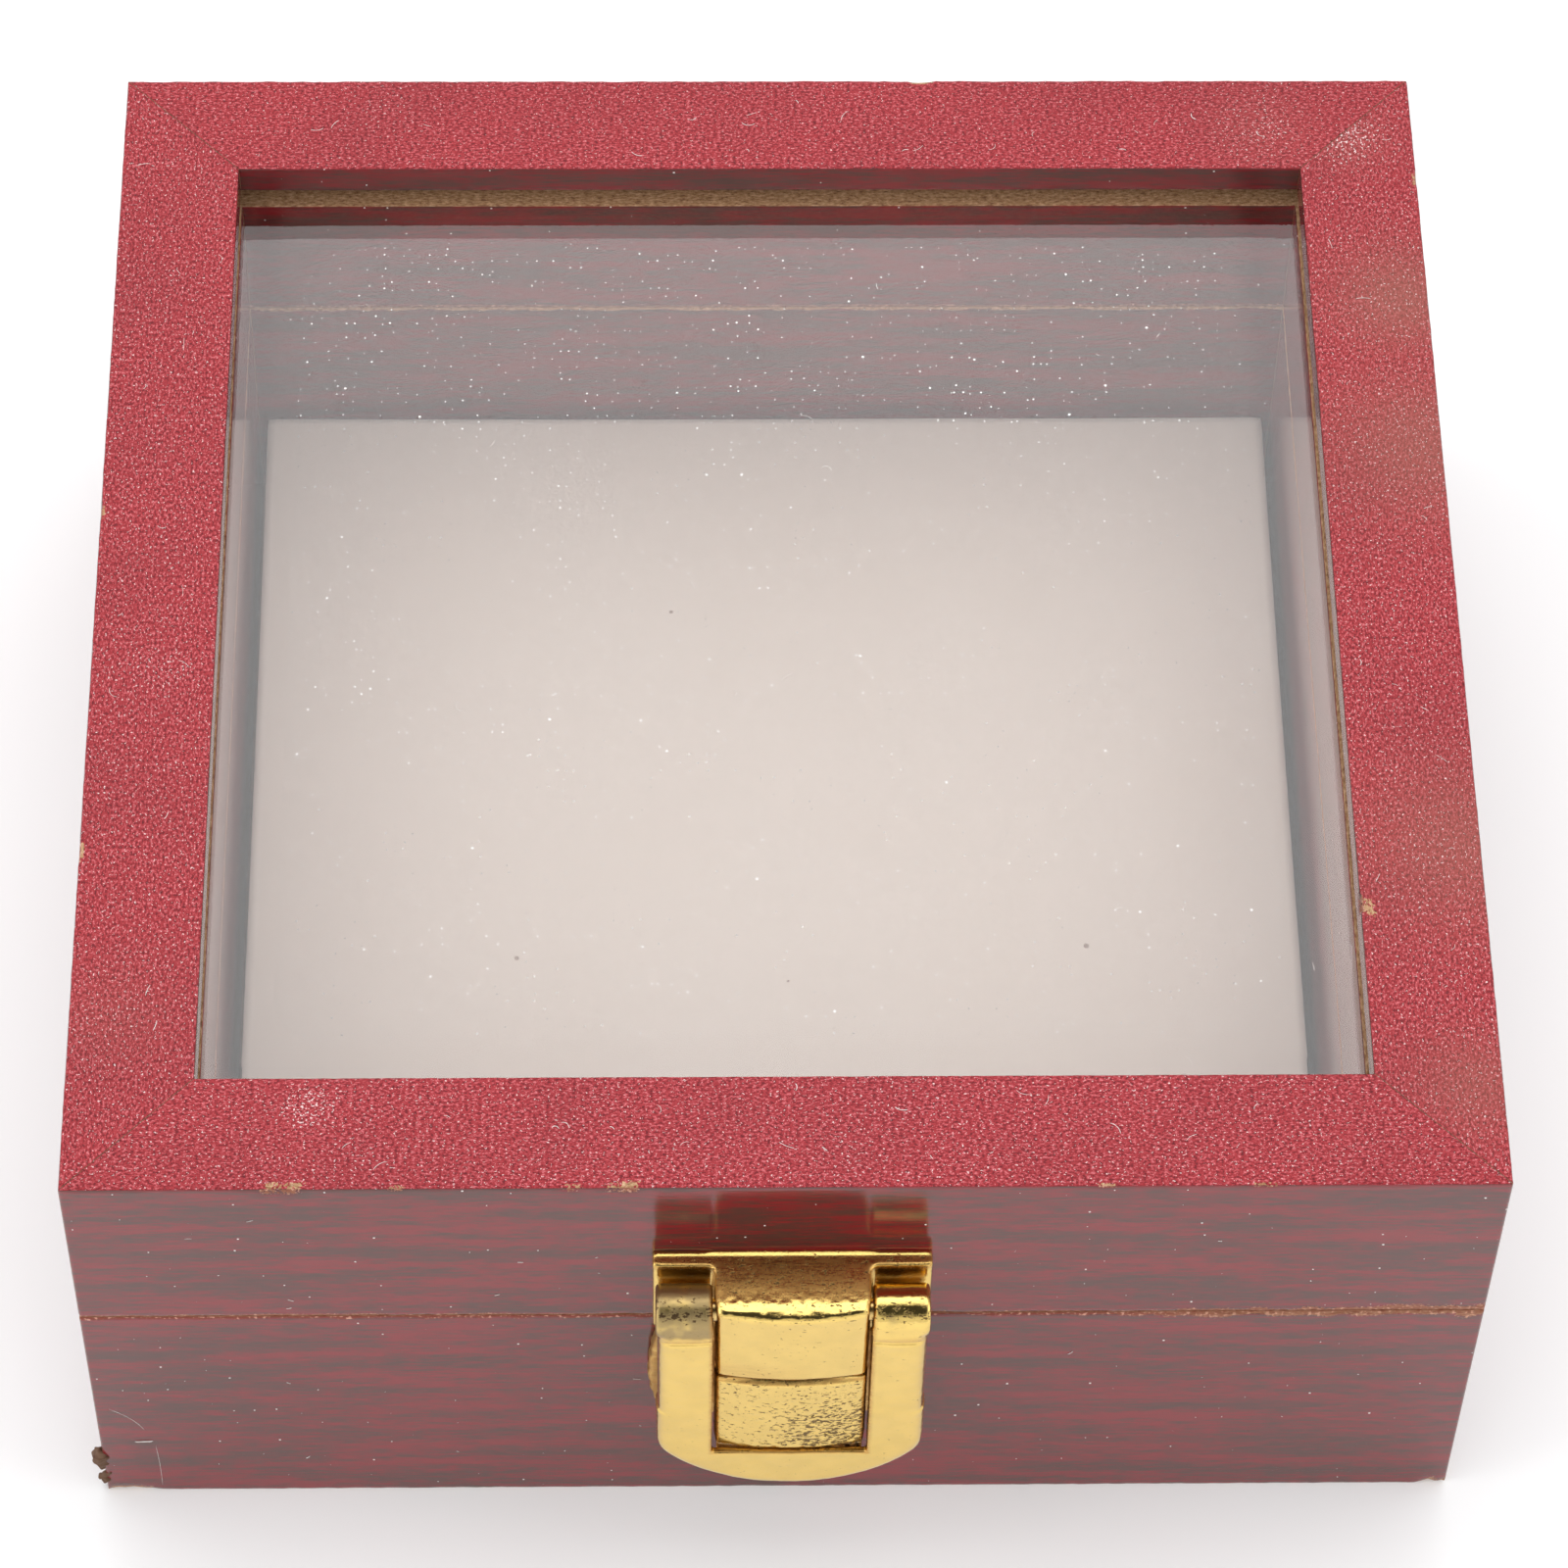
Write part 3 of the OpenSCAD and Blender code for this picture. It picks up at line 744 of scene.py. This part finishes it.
# ---- cast latch -----------------------------------------------------------------------------
def surface_of(field, low, step):
    """The surface where a sampled field changes sign, as points and quads (surface nets)."""
    inside = field < 0
    corner_ids = [(i, j, k) for i in (0, 1) for j in (0, 1) for k in (0, 1)]
    size = [n - 1 for n in field.shape]
    count = np.zeros(size, int)
    for i, j, k in corner_ids:
        count += inside[i:i + size[0], j:j + size[1], k:k + size[2]]
    cells = np.argwhere((count > 0) & (count < 8))
    total = np.zeros((len(cells), 3))
    hits = np.zeros(len(cells))
    for a in corner_ids:
        for axis in range(3):
            if a[axis]:
                continue
            b = tuple(1 if n == axis else a[n] for n in range(3))
            fa = field[cells[:, 0] + a[0], cells[:, 1] + a[1], cells[:, 2] + a[2]]
            fb = field[cells[:, 0] + b[0], cells[:, 1] + b[1], cells[:, 2] + b[2]]
            crossing = (fa < 0) != (fb < 0)
            t = np.where(crossing, fa / np.where(fa == fb, 1, fa - fb), 0)
            point = np.array(a, float)[None, :].repeat(len(cells), 0)
            point[:, axis] += t
            total += point * crossing[:, None]
            hits += crossing
    points = low + (cells + total / hits[:, None]) * step
    number = -np.ones(size, int)
    number[cells[:, 0], cells[:, 1], cells[:, 2]] = np.arange(len(cells))
    quads = []
    for axis in range(3):
        u, v = (axis + 1) % 3, (axis + 2) % 3
        first = np.take(inside, range(field.shape[axis] - 1), axis)
        second = np.take(inside, range(1, field.shape[axis]), axis)
        for crossed, flip in ((first & ~second, False), (~first & second, True)):
            edges = np.argwhere(crossed)
            edges = edges[(edges[:, u] > 0) & (edges[:, v] > 0)]
            around = []
            for du, dv in ((1, 1), (0, 1), (0, 0), (1, 0)):
                cell = edges.copy()
                cell[:, u] -= du
                cell[:, v] -= dv
                around.append(number[cell[:, 0], cell[:, 1], cell[:, 2]])
            quad = np.stack(around, 1)
            quads.append(quad[:, ::-1] if flip else quad)
    return points, np.concatenate(quads)


def blend_max(a, b, k):
    """The larger of two distances, rounded over k where they are close."""
    h = np.clip(k - np.abs(a - b), 0, None) / k
    return np.maximum(a, b) + h * h * k / 4


def blend_min(a, b, k):
    """The smaller of two distances, filleted over k where they are close."""
    return -blend_max(-a, -b, k)


latch_low, latch_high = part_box("hasp_lever")
LATCH_X = (latch_low.x + latch_high.x) / 2 / MM
LATCH_HALF = (latch_high.x - latch_low.x) / 2 / MM
FACE = HALF / MM  # front face, as a distance in front of the middle
hasp = next(j for j in frame["joints"] if j["name"] == "hasp_swing")
PIVOT_R = -hasp["pos_m"][1] / MM - FACE  # reach of the pivot from the front face
PIVOT_Z = hasp["pos_m"][2] / MM
HASP_FRONT = -latch_low.y / MM - FACE
HASP_LOW = latch_low.z / MM
KNUCKLE = latch_high.z / MM - PIVOT_Z  # radius of a knuckle
keeper_box = [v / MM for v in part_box("latch_keeper")]
striker_box = [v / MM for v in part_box("latch_striker")]
ARM = 4.0  # width of an arm, in millimetres like all that follow
HASP_T = 2.0  # thickness of the hasp
BAR_LIP = 0.55  # what the thumb relief leaves of the bar
FOOT_R = 11.0  # radius of the rounded foot
WINDOW_LOW = 15.6
WINDOW = LATCH_HALF - ARM  # half the width of the hasp's window
BLOCK = 5.25  # half the width of a raised block
BLOCK_CROWN = 29.0  # radius of its front as seen from above
PLATE = 1.2  # thickness of the keeper's and the striker's plate
KEEPER_LOW = LID_LOW / MM + 0.15  # lower edge of the keeper's plate
PIN_HOLE = 0.85  # radius of the pivot's hole
STRIKER_FOOT = 15.7  # foot of the striker's block
STRIKER_LOW = 14.3  # foot of its part behind the hasp's bar
STRIKER_BEHIND = 4.65  # reach of that part
STRIKER_FRONT = 5.2
PITTED = (25, 19.4)  # heights between which the striker's pits set in

pebble = lattice_noise(7)
swell = lattice_noise(8)


def cast_piece(name, body, node, low, high, field, marks, material, step=0.13):
    """A cast piece from a distance field of x, reach and height in millimetres.

    x is counted from the latch's middle and the reach from the box's front face."""
    pad = 3 * step
    axes = [np.arange(low[n] - pad, high[n] + pad, step) for n in range(3)]
    x, reach, z = np.meshgrid(*axes, indexing="ij")
    values = field(x, reach, z)
    points, quads = surface_of(values, np.array([a[0] for a in axes]), step)
    world = np.stack([points[:, 0] + LATCH_X, -FACE - points[:, 1], points[:, 2]], 1) * MM
    piece = mesh_object(name, world, quads[:, ::-1], [material])
    store(piece, "marks", marks(*points.T))
    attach(piece, body)
    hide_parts(node)
    return piece


def hasp_field(x, r, z):
    """The U-shaped hasp: crowned arms and bar, rolled knuckles, thumb relief behind the bar."""
    foot = HASP_LOW + FOOT_R
    side = np.abs(x) - LATCH_HALF
    arc = np.where(z < foot, np.hypot(x, z - foot) - FOOT_R, side)
    outline = blend_max(side, arc, 0.5)
    window = blend_max(np.abs(x) - WINDOW, WINDOW_LOW - z, 0.3)
    outline = np.maximum(outline, z - PIVOT_Z)
    front = r - HASP_FRONT + 0.03 * swell(x / 3, z / 3)
    slab = blend_max(blend_max(outline, front, 1.1), HASP_FRONT - HASP_T - r, 0.35)
    slab = blend_max(slab, -window, 0.12)
    roll = np.hypot(r - PIVOT_R, z - PIVOT_Z)
    ends = np.maximum(np.abs(x) - LATCH_HALF, WINDOW - np.abs(x))
    knuckle = blend_max(roll - KNUCKLE, ends, 0.4)
    crease_z = PIVOT_Z - 1.75
    crease = np.hypot(z - crease_z - 0.06 * (np.abs(x) - 7.6) ** 2, r - HASP_FRONT - 0.04) - 0.22
    body = blend_min(slab, knuckle, 0.25)
    body = blend_max(body, -crease, 0.12)
    body = np.maximum(body, PIN_HOLE - roll)
    relief = np.maximum(np.abs(x) - WINDOW, r - (HASP_FRONT - BAR_LIP))
    relief = np.maximum(relief, z - WINDOW_LOW - 1)
    body = blend_max(body, -relief, 0.1)
    return body + 0.012 * pebble(x / 0.5, r / 0.5, z / 0.5)


def crown_of(x):
    """How far the crowned front of a block falls back at x."""
    return BLOCK_CROWN - np.sqrt(BLOCK_CROWN ** 2 - np.clip(np.abs(x), 0, 8) ** 2)


def block_field(x, r, z, low, high, front):
    """A raised block between two heights, its front crowned as seen from above."""
    crown = crown_of(x)
    draft = 0.20 * np.clip((4.9 - r) / 1.2, 0, 1)
    body = blend_max(np.abs(x) - BLOCK - draft, r - (front - crown), 0.3)
    body = np.maximum(blend_max(body, z - high, 0.45), blend_max(body, low - z, 0.40))
    return np.maximum(body, -r)


def keeper_field(x, r, z):
    """The keeper on the lid: a plate with the upper block, hammered towards its lip."""
    low, high = keeper_box[0].z, keeper_box[1].z
    left, right = keeper_box[0].x - LATCH_X, keeper_box[1].x - LATCH_X
    front = -keeper_box[0].y - FACE
    plate = blend_max(np.maximum(x - right, left - x), np.maximum(z - high, KEEPER_LOW - z), 0.4)
    plate = np.maximum(blend_max(plate, r - PLATE, 0.3), -r)
    top = high - 0.45 * np.clip((r - 3.2) / (front - 3.2), 0, 1.2) ** 2
    taper = 0.30 * np.clip((high - z) / (high - low), 0, 1)
    block = block_field(x, r + taper, z, low, top, front)
    chamfer = r - front + crown_of(x) + 0.30 + low - z + 0.35
    under_plate = np.maximum(z - KEEPER_LOW, r - PLATE - 0.2)
    block = np.maximum(block, np.maximum(chamfer, -under_plate))
    ridge = high - 0.10 * np.clip((r - 0.12) / 0.34, 0, 1)
    body = np.maximum(blend_min(plate, block, 0.7), np.maximum(z - ridge, low - z))
    body = np.maximum(body, -under_plate)
    hammered = smoothstep(2.8, 4.2, r) * smoothstep(high - 1.5, high - 0.7, z)
    body = body + 0.03 * hammered * pebble(x / 0.34, r / 0.28, z / 0.34)
    body = np.maximum(body, PIN_HOLE - np.hypot(r - PIVOT_R, z - PIVOT_Z))
    return body + 0.012 * swell(x / 1.2, r / 1.2, z / 1.2)


def striker_field(x, r, z):
    """The striker on the base: a plate with bowed sides and the lower, pitted block."""
    low, high = striker_box[0].z, striker_box[1].z
    left, right = striker_box[0].x - LATCH_X, striker_box[1].x - LATCH_X
    middle, rise = (low + high) / 2, (high - low) / 2
    bow = 0.7 * ((z - middle) / rise) ** 2
    rag = 0.12 * swell(z / 0.7, x / 5)
    sides = np.maximum(x - right, left + 0.4 - x) + bow + rag
    plate = blend_max(sides, np.maximum(z - high, low - z), 0.5)
    plate = np.maximum(blend_max(plate, r - PLATE, 0.4), -r)
    block = block_field(x, r, z, STRIKER_FOOT, high - 0.1, STRIKER_FRONT)
    block = np.maximum(block, r - STRIKER_FRONT + crown_of(x) + z - high + 0.45)
    behind = np.maximum(np.abs(x) - BLOCK, r - STRIKER_BEHIND)
    behind = np.maximum(behind, np.maximum(z - high, STRIKER_LOW - z))
    block = blend_min(block, behind, 0.1)
    pits = smoothstep(0.25, 0.7, pebble(x / 0.3, r / 0.3, z / 0.3)) * smoothstep(3.5, 4.2, r)
    density = 0.3 + 0.7 * smoothstep(-4, 3, x) * smoothstep(*PITTED, z)
    return blend_min(plate, block, 0.5) + 0.07 * pits * density


def block_side(x, r):
    """1 on the sides of a raised block."""
    at_side = smoothstep(BLOCK - 0.25, BLOCK - 0.02, np.abs(x))
    return at_side * (r > PLATE) * (np.abs(x) < BLOCK + 0.3)


def hasp_marks(x, r, z):
    """Pits, tarnish and brown of the hasp: dark, rubbed knuckles, brown on the inner sides as
    painted shadow of the gaps, and brown under the knuckles as painted shade in the crease.
    """
    knuckle = smoothstep(PIVOT_Z - 1.6, PIVOT_Z - 0.4, z)
    # inner: the window's inner sides, painted brown as the shadow of the gaps beside the blocks.
    inner = smoothstep(WINDOW + 0.35, WINDOW + 0.05, np.abs(x)) * (z > WINDOW_LOW - 0.2)
    stain = np.exp(-((z - PIVOT_Z - 1.35) / 0.45) ** 2) * (r > PIVOT_R) * (1.3 - 0.3 * (x > 0))
    # below: painted shade in the crease under the knuckles.
    below = 0.5 * smoothstep(PIVOT_Z - 2.4, PIVOT_Z - 1.2, z) * (1 - knuckle)
    brown = np.maximum(0.9 * inner, below)
    return np.stack([0.2 + 0.3 * knuckle + stain, knuckle * (0.75 - 0.45 * (x > 0)), brown], 1)


def keeper_marks(x, r, z):
    """Pits on the hammered lip; brown on the flat top band as a painted reflection, brown on the
    block's sides as painted shade of the gaps, brown and pits on the lower rim as painted shade of
    the groove, and a smear.
    """
    low, high = keeper_box[0].z, keeper_box[1].z
    lip = smoothstep(3.5, 4.3, r) * smoothstep(high - 1.3, high - 0.6, z)
    # band: brown and pits on the upward top band; the brown is a painted reflection.
    band = smoothstep(high - 1.0, high - 0.3, z) * smoothstep(0.3, 0.6, r) * (1 - lip)
    # side: brown on the block's sides, painted shade of the gaps beside the hasp's arms.
    side = block_side(x, r)
    smear = smoothstep(low + 2.9, low + 1.4, z) * smoothstep(3, -3, x) * (r > 4) * 0.35
    # rim: brown and pits along the lower edge, painted shade in the groove above the striker.
    rim = smoothstep(low + 0.45, low + 0.1, z)
    brown = np.maximum(np.maximum(0.8 * band + smear, side), rim)
    return np.stack([0.3 + 0.35 * lip + 0.35 * band + 0.8 * rim, 0 * x, brown], 1)


def striker_marks(x, r, z):
    """Heavy pits, most on the lower right of the block; brown on the plate and the foot, brown on
    the block's sides as painted shade of the gaps, and brown on its top edge as a painted
    reflection.
    """
    high = striker_box[1].z
    block = smoothstep(2.0, 4.0, r)
    more = 0.35 + 0.65 * smoothstep(-3, 3, x) * smoothstep(*PITTED, z)
    # side: brown on the block's sides, painted shade of the gaps beside the hasp's arms.
    side = block_side(x, r)
    # rim: brown along the top edge, a painted reflection of the keeper above, and brown along the
    # foot.
    rim = smoothstep(high - 0.52, high - 0.38, z) + smoothstep(STRIKER_FOOT + 0.25, STRIKER_FOOT, z)
    worn = 0.55 * smoothstep(1.8, 1.3, r)
    brown = np.clip(np.maximum(1 - block, side) + rim, 0, 1)
    return np.stack([0.35 + block * more, worn, brown], 1)


GOLD = (0.875, 0.625, 0.195)


def make_latch():
    """The hasp, the keeper and the striker as cast pieces, and gold on their pins."""
    gold = marked_gold("polished_gold", GOLD, 0.12)
    pitted = marked_gold("pitted_gold", GOLD, 0.17)
    w = LATCH_HALF
    cast_piece("hasp_casting", "hasp", "hasp_lever", (-w, PIVOT_R - KNUCKLE, HASP_LOW),
               (w, HASP_FRONT, PIVOT_Z + KNUCKLE), hasp_field, hasp_marks, gold)
    for name, body, node, box, field, marks in (
            ("keeper_casting", "lid", "latch_keeper", keeper_box, keeper_field, keeper_marks),
            ("striker_casting", "tray", "latch_striker", striker_box, striker_field,
             striker_marks)):
        low = (box[0].x - LATCH_X, 0, box[0].z)
        high = (box[1].x - LATCH_X, -box[0].y - FACE, box[1].z)
        cast_piece(name, body, node, low, high, field, marks, pitted)
    for node in ("striker_pins", "keeper_pins", "hasp_pivot_pin"):
        finish(node, BRASS)


# ---- glass, pad, hinges ---------------------------------------------------------------------
def finish(node, material):
    """Gives a CAD node its material."""
    mesh = frame["nodes"][node].data
    mesh.materials.clear()
    mesh.materials.append(material)


def rounded_block(name, low, high, radius, cells, shape, material):
    """A closed block of small quads with rounded edges; shape moves its points at the end."""
    low, high = np.array(low, float), np.array(high, float)
    centre, half = (low + high) / 2, (high - low) / 2
    index, points, faces = {}, [], []

    def corner_id(key):
        if key not in index:
            index[key] = len(points)
            points.append([-1 + 2 * key[n] / cells[n] for n in range(3)])
        return index[key]

    for axis in range(3):
        u, v = (axis + 1) % 3, (axis + 2) % 3
        for end in (0, cells[axis]):
            for i in range(cells[u]):
                for j in range(cells[v]):
                    quad = []
                    for di, dj in ((0, 0), (1, 0), (1, 1), (0, 1)):
                        key = [0, 0, 0]
                        key[axis], key[u], key[v] = end, i + di, j + dj
                        quad.append(corner_id(tuple(key)))
                    faces.append(quad if end else quad[::-1])
    p = np.array(points) * half
    inner = np.clip(p, -(half - radius), half - radius)
    v = p - inner
    length = np.linalg.norm(v, axis=1, keepdims=True)
    p = inner + np.where(length > 0, v / np.maximum(length, 1e-12) * radius, 0)
    p = shape(p, half) + centre
    return mesh_object(name, p, faces, [material])


def make_pane():
    """The glass pane, its edges ground round."""
    cells = (8, 8, 2)
    pane = rounded_block("ground_pane", pane_low, pane_high, 0.25 * MM, cells, lambda p, half: p,
                         pane_glass())
    pane.data.polygons.foreach_set("use_smooth", [False] * len(pane.data.polygons))
    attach(pane, "lid")
    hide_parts("glass_pane")


def make_pad():
    """The display pad: firm, faintly crowned, its sides drawn in between the corners."""
    wave = lattice_noise(21)

    def shape(p, half):
        u, v = p[:, 0] / half[0], p[:, 1] / half[1]
        top = smoothstep(-0.2, 1.0, p[:, 2] / half[2])
        sag = 0.15 * MM * (1 - (1 - u ** 4) * (1 - v ** 4)) + 0.04 * MM * (1 + wave(u * 3, v * 3))
        p[:, 2] -= top * sag
        pull = 0.12 * MM
        p[:, 0] -= np.sign(u) * (np.abs(u) > 0.9) * pull * (1 - v ** 2) * (0.6 + 0.4 * top)
        p[:, 1] -= np.sign(v) * (np.abs(v) > 0.9) * pull * (1 - u ** 2) * (0.6 + 0.4 * top)
        return p

    pad = rounded_block("display_pad_cover", pad_low, pad_high, 0.30 * MM, (110, 110, 14), shape,
                        pad_cover())
    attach(pad, "tray")
    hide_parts("display_pad")


STRAND_SIDES = 5
STRAND_RINGS = 9


def strand(points, faces, place, start, heading, bend, length, thick):
    """Adds one thin fibre to a mesh; place turns two flat coordinates and a height into a point."""
    u, v = start
    first = len(points)
    for ring in range(STRAND_RINGS):
        heading += bend / STRAND_RINGS
        u += length / STRAND_RINGS * math.cos(heading)
        v += length / STRAND_RINGS * math.sin(heading)
        slim = thick * (0.35 if ring in (0, STRAND_RINGS - 1) else 1)
        for side in range(STRAND_SIDES):
            a = 2 * math.pi * side / STRAND_SIDES
            w = slim * math.cos(a)
            points.append(place(u - w * math.sin(heading), v + w * math.cos(heading),
                                slim * (1 + math.sin(a))))
    for ring in range(STRAND_RINGS - 1):
        for side in range(STRAND_SIDES):
            a = first + ring * STRAND_SIDES + side
            b = first + ring * STRAND_SIDES + (side + 1) % STRAND_SIDES
            faces.append((a, a + STRAND_SIDES, b + STRAND_SIDES, b))
    last = first + (STRAND_RINGS - 1) * STRAND_SIDES
    faces.append(tuple(first + side for side in range(STRAND_SIDES)))
    faces.append(tuple(last + side for side in reversed(range(STRAND_SIDES))))


def on_level(z):
    """Places a fibre flat on a level face."""
    return lambda u, v, up: (u, v, z + up)


def on_front(u, v, out):
    """Places a fibre on the front face."""
    return u, -HALF - out, v


def finish_lint(name, body, points, faces, material):
    """Makes the fibres of one body a piece."""
    lint = mesh_object(name, points, faces, [material])
    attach(lint, body)


def front_fibres(rng, points, faces, low, high, scale):
    """Adds a few short fibres to the front, at heights from low to high times the scale."""
    for _ in range(9):
        place = rng.uniform(-0.9, 0.9) * HALF, rng.uniform(low, high) * scale
        strand(points, faces, on_front, place, rng.uniform(-0.6, 0.6), rng.uniform(-1, 1),
               rng.uniform(0.2, 0.7) * MM, rng.uniform(0.015, 0.03) * MM)


def lid_lint(rng):
    """Fibres lying on the lid's rails and on the glass, and a few on the lid's front."""
    points, faces = [], []
    inner, outer = HALF - WALL + 1.2 * MM, HALF - 1.6 * MM
    for n in range(90):
        on_glass = n % 5 == 0
        reach = HALF - WALL if on_glass else HALF - 1.5 * MM
        x, y = rng.uniform(-reach, reach, 2)
        if not on_glass and max(abs(x), abs(y)) < inner:
            push = rng.uniform(inner, outer)
            along_x = rng.random() < 0.5
            x, y = (math.copysign(push, x), y) if along_x else (x, math.copysign(push, y))
        strand(points, faces, on_level(pane_high.z if on_glass else LID_TOP), (x, y),
               rng.uniform(0, 2 * math.pi), rng.uniform(-2.5, 2.5), rng.uniform(0.3, 1.4) * MM,
               rng.uniform(0.012, 0.026) * MM)
    front_fibres(rng, points, faces, LID_LOW, LID_TOP, 0.94)
    return points, faces


def tray_lint(rng):
    """Fibres on the tray's front, with a white scratch and two hairs near its left edge."""
    points, faces = [], []
    front_fibres(rng, points, faces, 0.1, 0.9, BASE_TOP)
    for x, z, heading, bend, length, thick in (
            (-47.6, 7.7, 0.12, -0.1, 1.5, 0.05),
            (-49.4, 13.0, -0.5, -0.7, 4.5, 0.014),
            (-46.0, 7.8, -1.5, -0.1, 7.0, 0.012)):
        strand(points, faces, on_front, (x * MM, z * MM), heading, bend, length * MM, thick * MM)
    return points, faces


def make_lint():
    """Lint, hairs and a scratch, as one piece for the lid and one for the tray."""
    rng = np.random.default_rng(5)
    white = lint_white()
    finish_lint("lid_lint", "lid", *lid_lint(rng), white)
    finish_lint("tray_lint", "tray", *tray_lint(rng), white)


CRUMB_LOW = np.array([-1.0, -0.9, 0.3])  # corner of the sampled box, in millimetres
CRUMB_STEP = 0.09
CRUMB_LUMPS = [(0.15, 5.2, 0.55), (0.35, 4.4, 0.6), (0.1, 3.6, 0.45), (0.0, 2.6, 0.3),
               (0.12, 1.7, 0.4), (0.2, 1.0, 0.45)]  # outward place, height, radius


def make_crumb():
    """A crumb of brown fibre hanging from the frayed foot of the front left edge."""
    rng = np.random.default_rng(11)
    axes = [np.arange(low, high, CRUMB_STEP) for low, high in zip(CRUMB_LOW, (1.4, 1.4, 6.4))]
    x, y, z = np.meshgrid(*axes, indexing="ij")
    field = np.full(x.shape, 9.0)
    for out, height, r in CRUMB_LUMPS:
        across = (x - out) ** 2 + (y - rng.uniform(-0.1, 0.35)) ** 2
        field = blend_min(field, np.sqrt(across + ((z - height) / 1.3) ** 2) - r, 0.25)
    field = field + 0.22 * pebble(x / 0.35, y / 0.35, z / 0.35)
    points, quads = surface_of(field, CRUMB_LOW, CRUMB_STEP)
    world = np.stack([-FACE - points[:, 0] + 0.1, -FACE + points[:, 1] + 0.3, points[:, 2]], 1) * MM
    piece = mesh_object("frayed_crumb", world, quads, [raw_fibre("torn_fibre", 0.8)])
    store(piece, "skin", np.stack([points[:, 1], points[:, 2], points[:, 0]], 1) * MM)
    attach(piece, "tray")


make_boards()
make_crumb()
make_latch()
make_pane()
make_pad()
make_lint()
finish("bottom_panel", hardboard())
for node in frame["nodes"]:
    if node.startswith("hinge"):
        finish(node, BRASS)


# ---- studio ---------------------------------------------------------------------------------
def make_floor():
    """A wide pale floor under the box."""
    mat, tree, shader = new_material("studio_floor")
    place = object_place(tree)
    tone = noise(tree, place, 0.02, 2.0, 0.5, "3D")
    colour = mix(tree, step_up(tree, tone, 0.3, 0.7), (0.79, 0.79, 0.79), (0.81, 0.81, 0.81))
    fill(tree, shader, {"Base Color": colour, "Roughness": 0.8,
                        "Emission Color": (1.0, 1.0, 1.0), "Emission Strength": 0.16})
    size, z = 6.0, -0.02 * MM
    points = [(-size, -size, z), (size, -size, z), (size, size, z), (-size, size, z)]
    mesh_object("studio_floor", points, [(0, 1, 2, 3)], [mat], smooth=False)


CAMERA_AT = Vector((-8.47, -255.16, 395.07)) * MM
CAMERA_DOWN = 55.76  # degrees below the horizon
CAMERA_AZIMUTH = 2.09  # degrees from +Y towards +X
CAMERA_ROLL = 1.55  # degrees
CAMERA_LENS = 135.7  # millimetres, like the sensor
CAMERA_SENSOR = 36.0
LAMP_AIM = Vector((0, 0, 0.03))


def area_light(name, at, width, height, radiance):
    """A soft rectangular lamp of the given brightness, aimed at the box."""
    data = bpy.data.lights.new(name, "AREA")
    data.shape = "RECTANGLE"
    data.size, data.size_y = width, height
    data.energy = radiance * math.pi * width * height
    lamp = link(bpy.data.objects.new(name, data))
    lamp.location = at
    lamp.rotation_euler = (LAMP_AIM - Vector(at)).to_track_quat("-Z", "Y").to_euler()
    return lamp


def make_lights():
    """Softboxes behind and overhead, weak fills, and a surround that is dark round the camera."""
    area_light("back_softbox", (0.03, 0.72, 1.04), 0.75, 0.62, 1.72)
    area_light("top_softbox", (0, 0.10, 1.35), 2.0, 0.8, 1.35)
    area_light("left_fill", (-1.25, -0.3, 0.65), 0.8, 0.7, 2.2)
    area_light("right_fill", (1.25, -0.3, 0.65), 0.8, 0.7, 1.2)
    front = area_light("front_fill", (-0.1, -0.75, 1.15), 1.2, 0.6, 1.6)
    front.visible_glossy = False
    world = bpy.data.worlds.new("studio")
    world.use_nodes = True
    tree = world.node_tree
    place = add(tree, "TexCoord").outputs["Generated"]
    facing = add(tree, "VectorMath", {0: place, 1: CAMERA_AT.normalized()}, operation="DOT_PRODUCT")
    level = step_up(tree, facing.outputs["Value"], 0.78, 0.94, 0.92, 0.05)
    shade = tree.nodes["Background"]
    plug(tree, shade.inputs["Color"], (0.985, 0.99, 1.0))
    plug(tree, shade.inputs["Strength"], level)
    bpy.context.scene.world = world


def make_camera():
    """The camera, above and in front of the box."""
    down, azimuth, roll = (math.radians(a) for a in (CAMERA_DOWN, CAMERA_AZIMUTH, CAMERA_ROLL))
    forward = Vector((math.sin(azimuth) * math.cos(down), math.cos(azimuth) * math.cos(down),
                      -math.sin(down)))
    level = forward.cross(Vector((0, 0, 1))).normalized()
    upright = level.cross(forward)
    right = level * math.cos(roll) + upright * math.sin(roll)
    up = right.cross(forward)
    data = bpy.data.cameras.new("camera")
    data.sensor_width = CAMERA_SENSOR
    data.lens = CAMERA_LENS
    camera = link(bpy.data.objects.new("camera", data))
    camera.matrix_world = Matrix.Translation(CAMERA_AT) @ Matrix(
        (right, up, -forward)).transposed().to_4x4()
    bpy.context.scene.camera = camera


make_floor()
make_lights()
make_camera()
bpy.context.scene.view_settings.view_transform = "Standard"
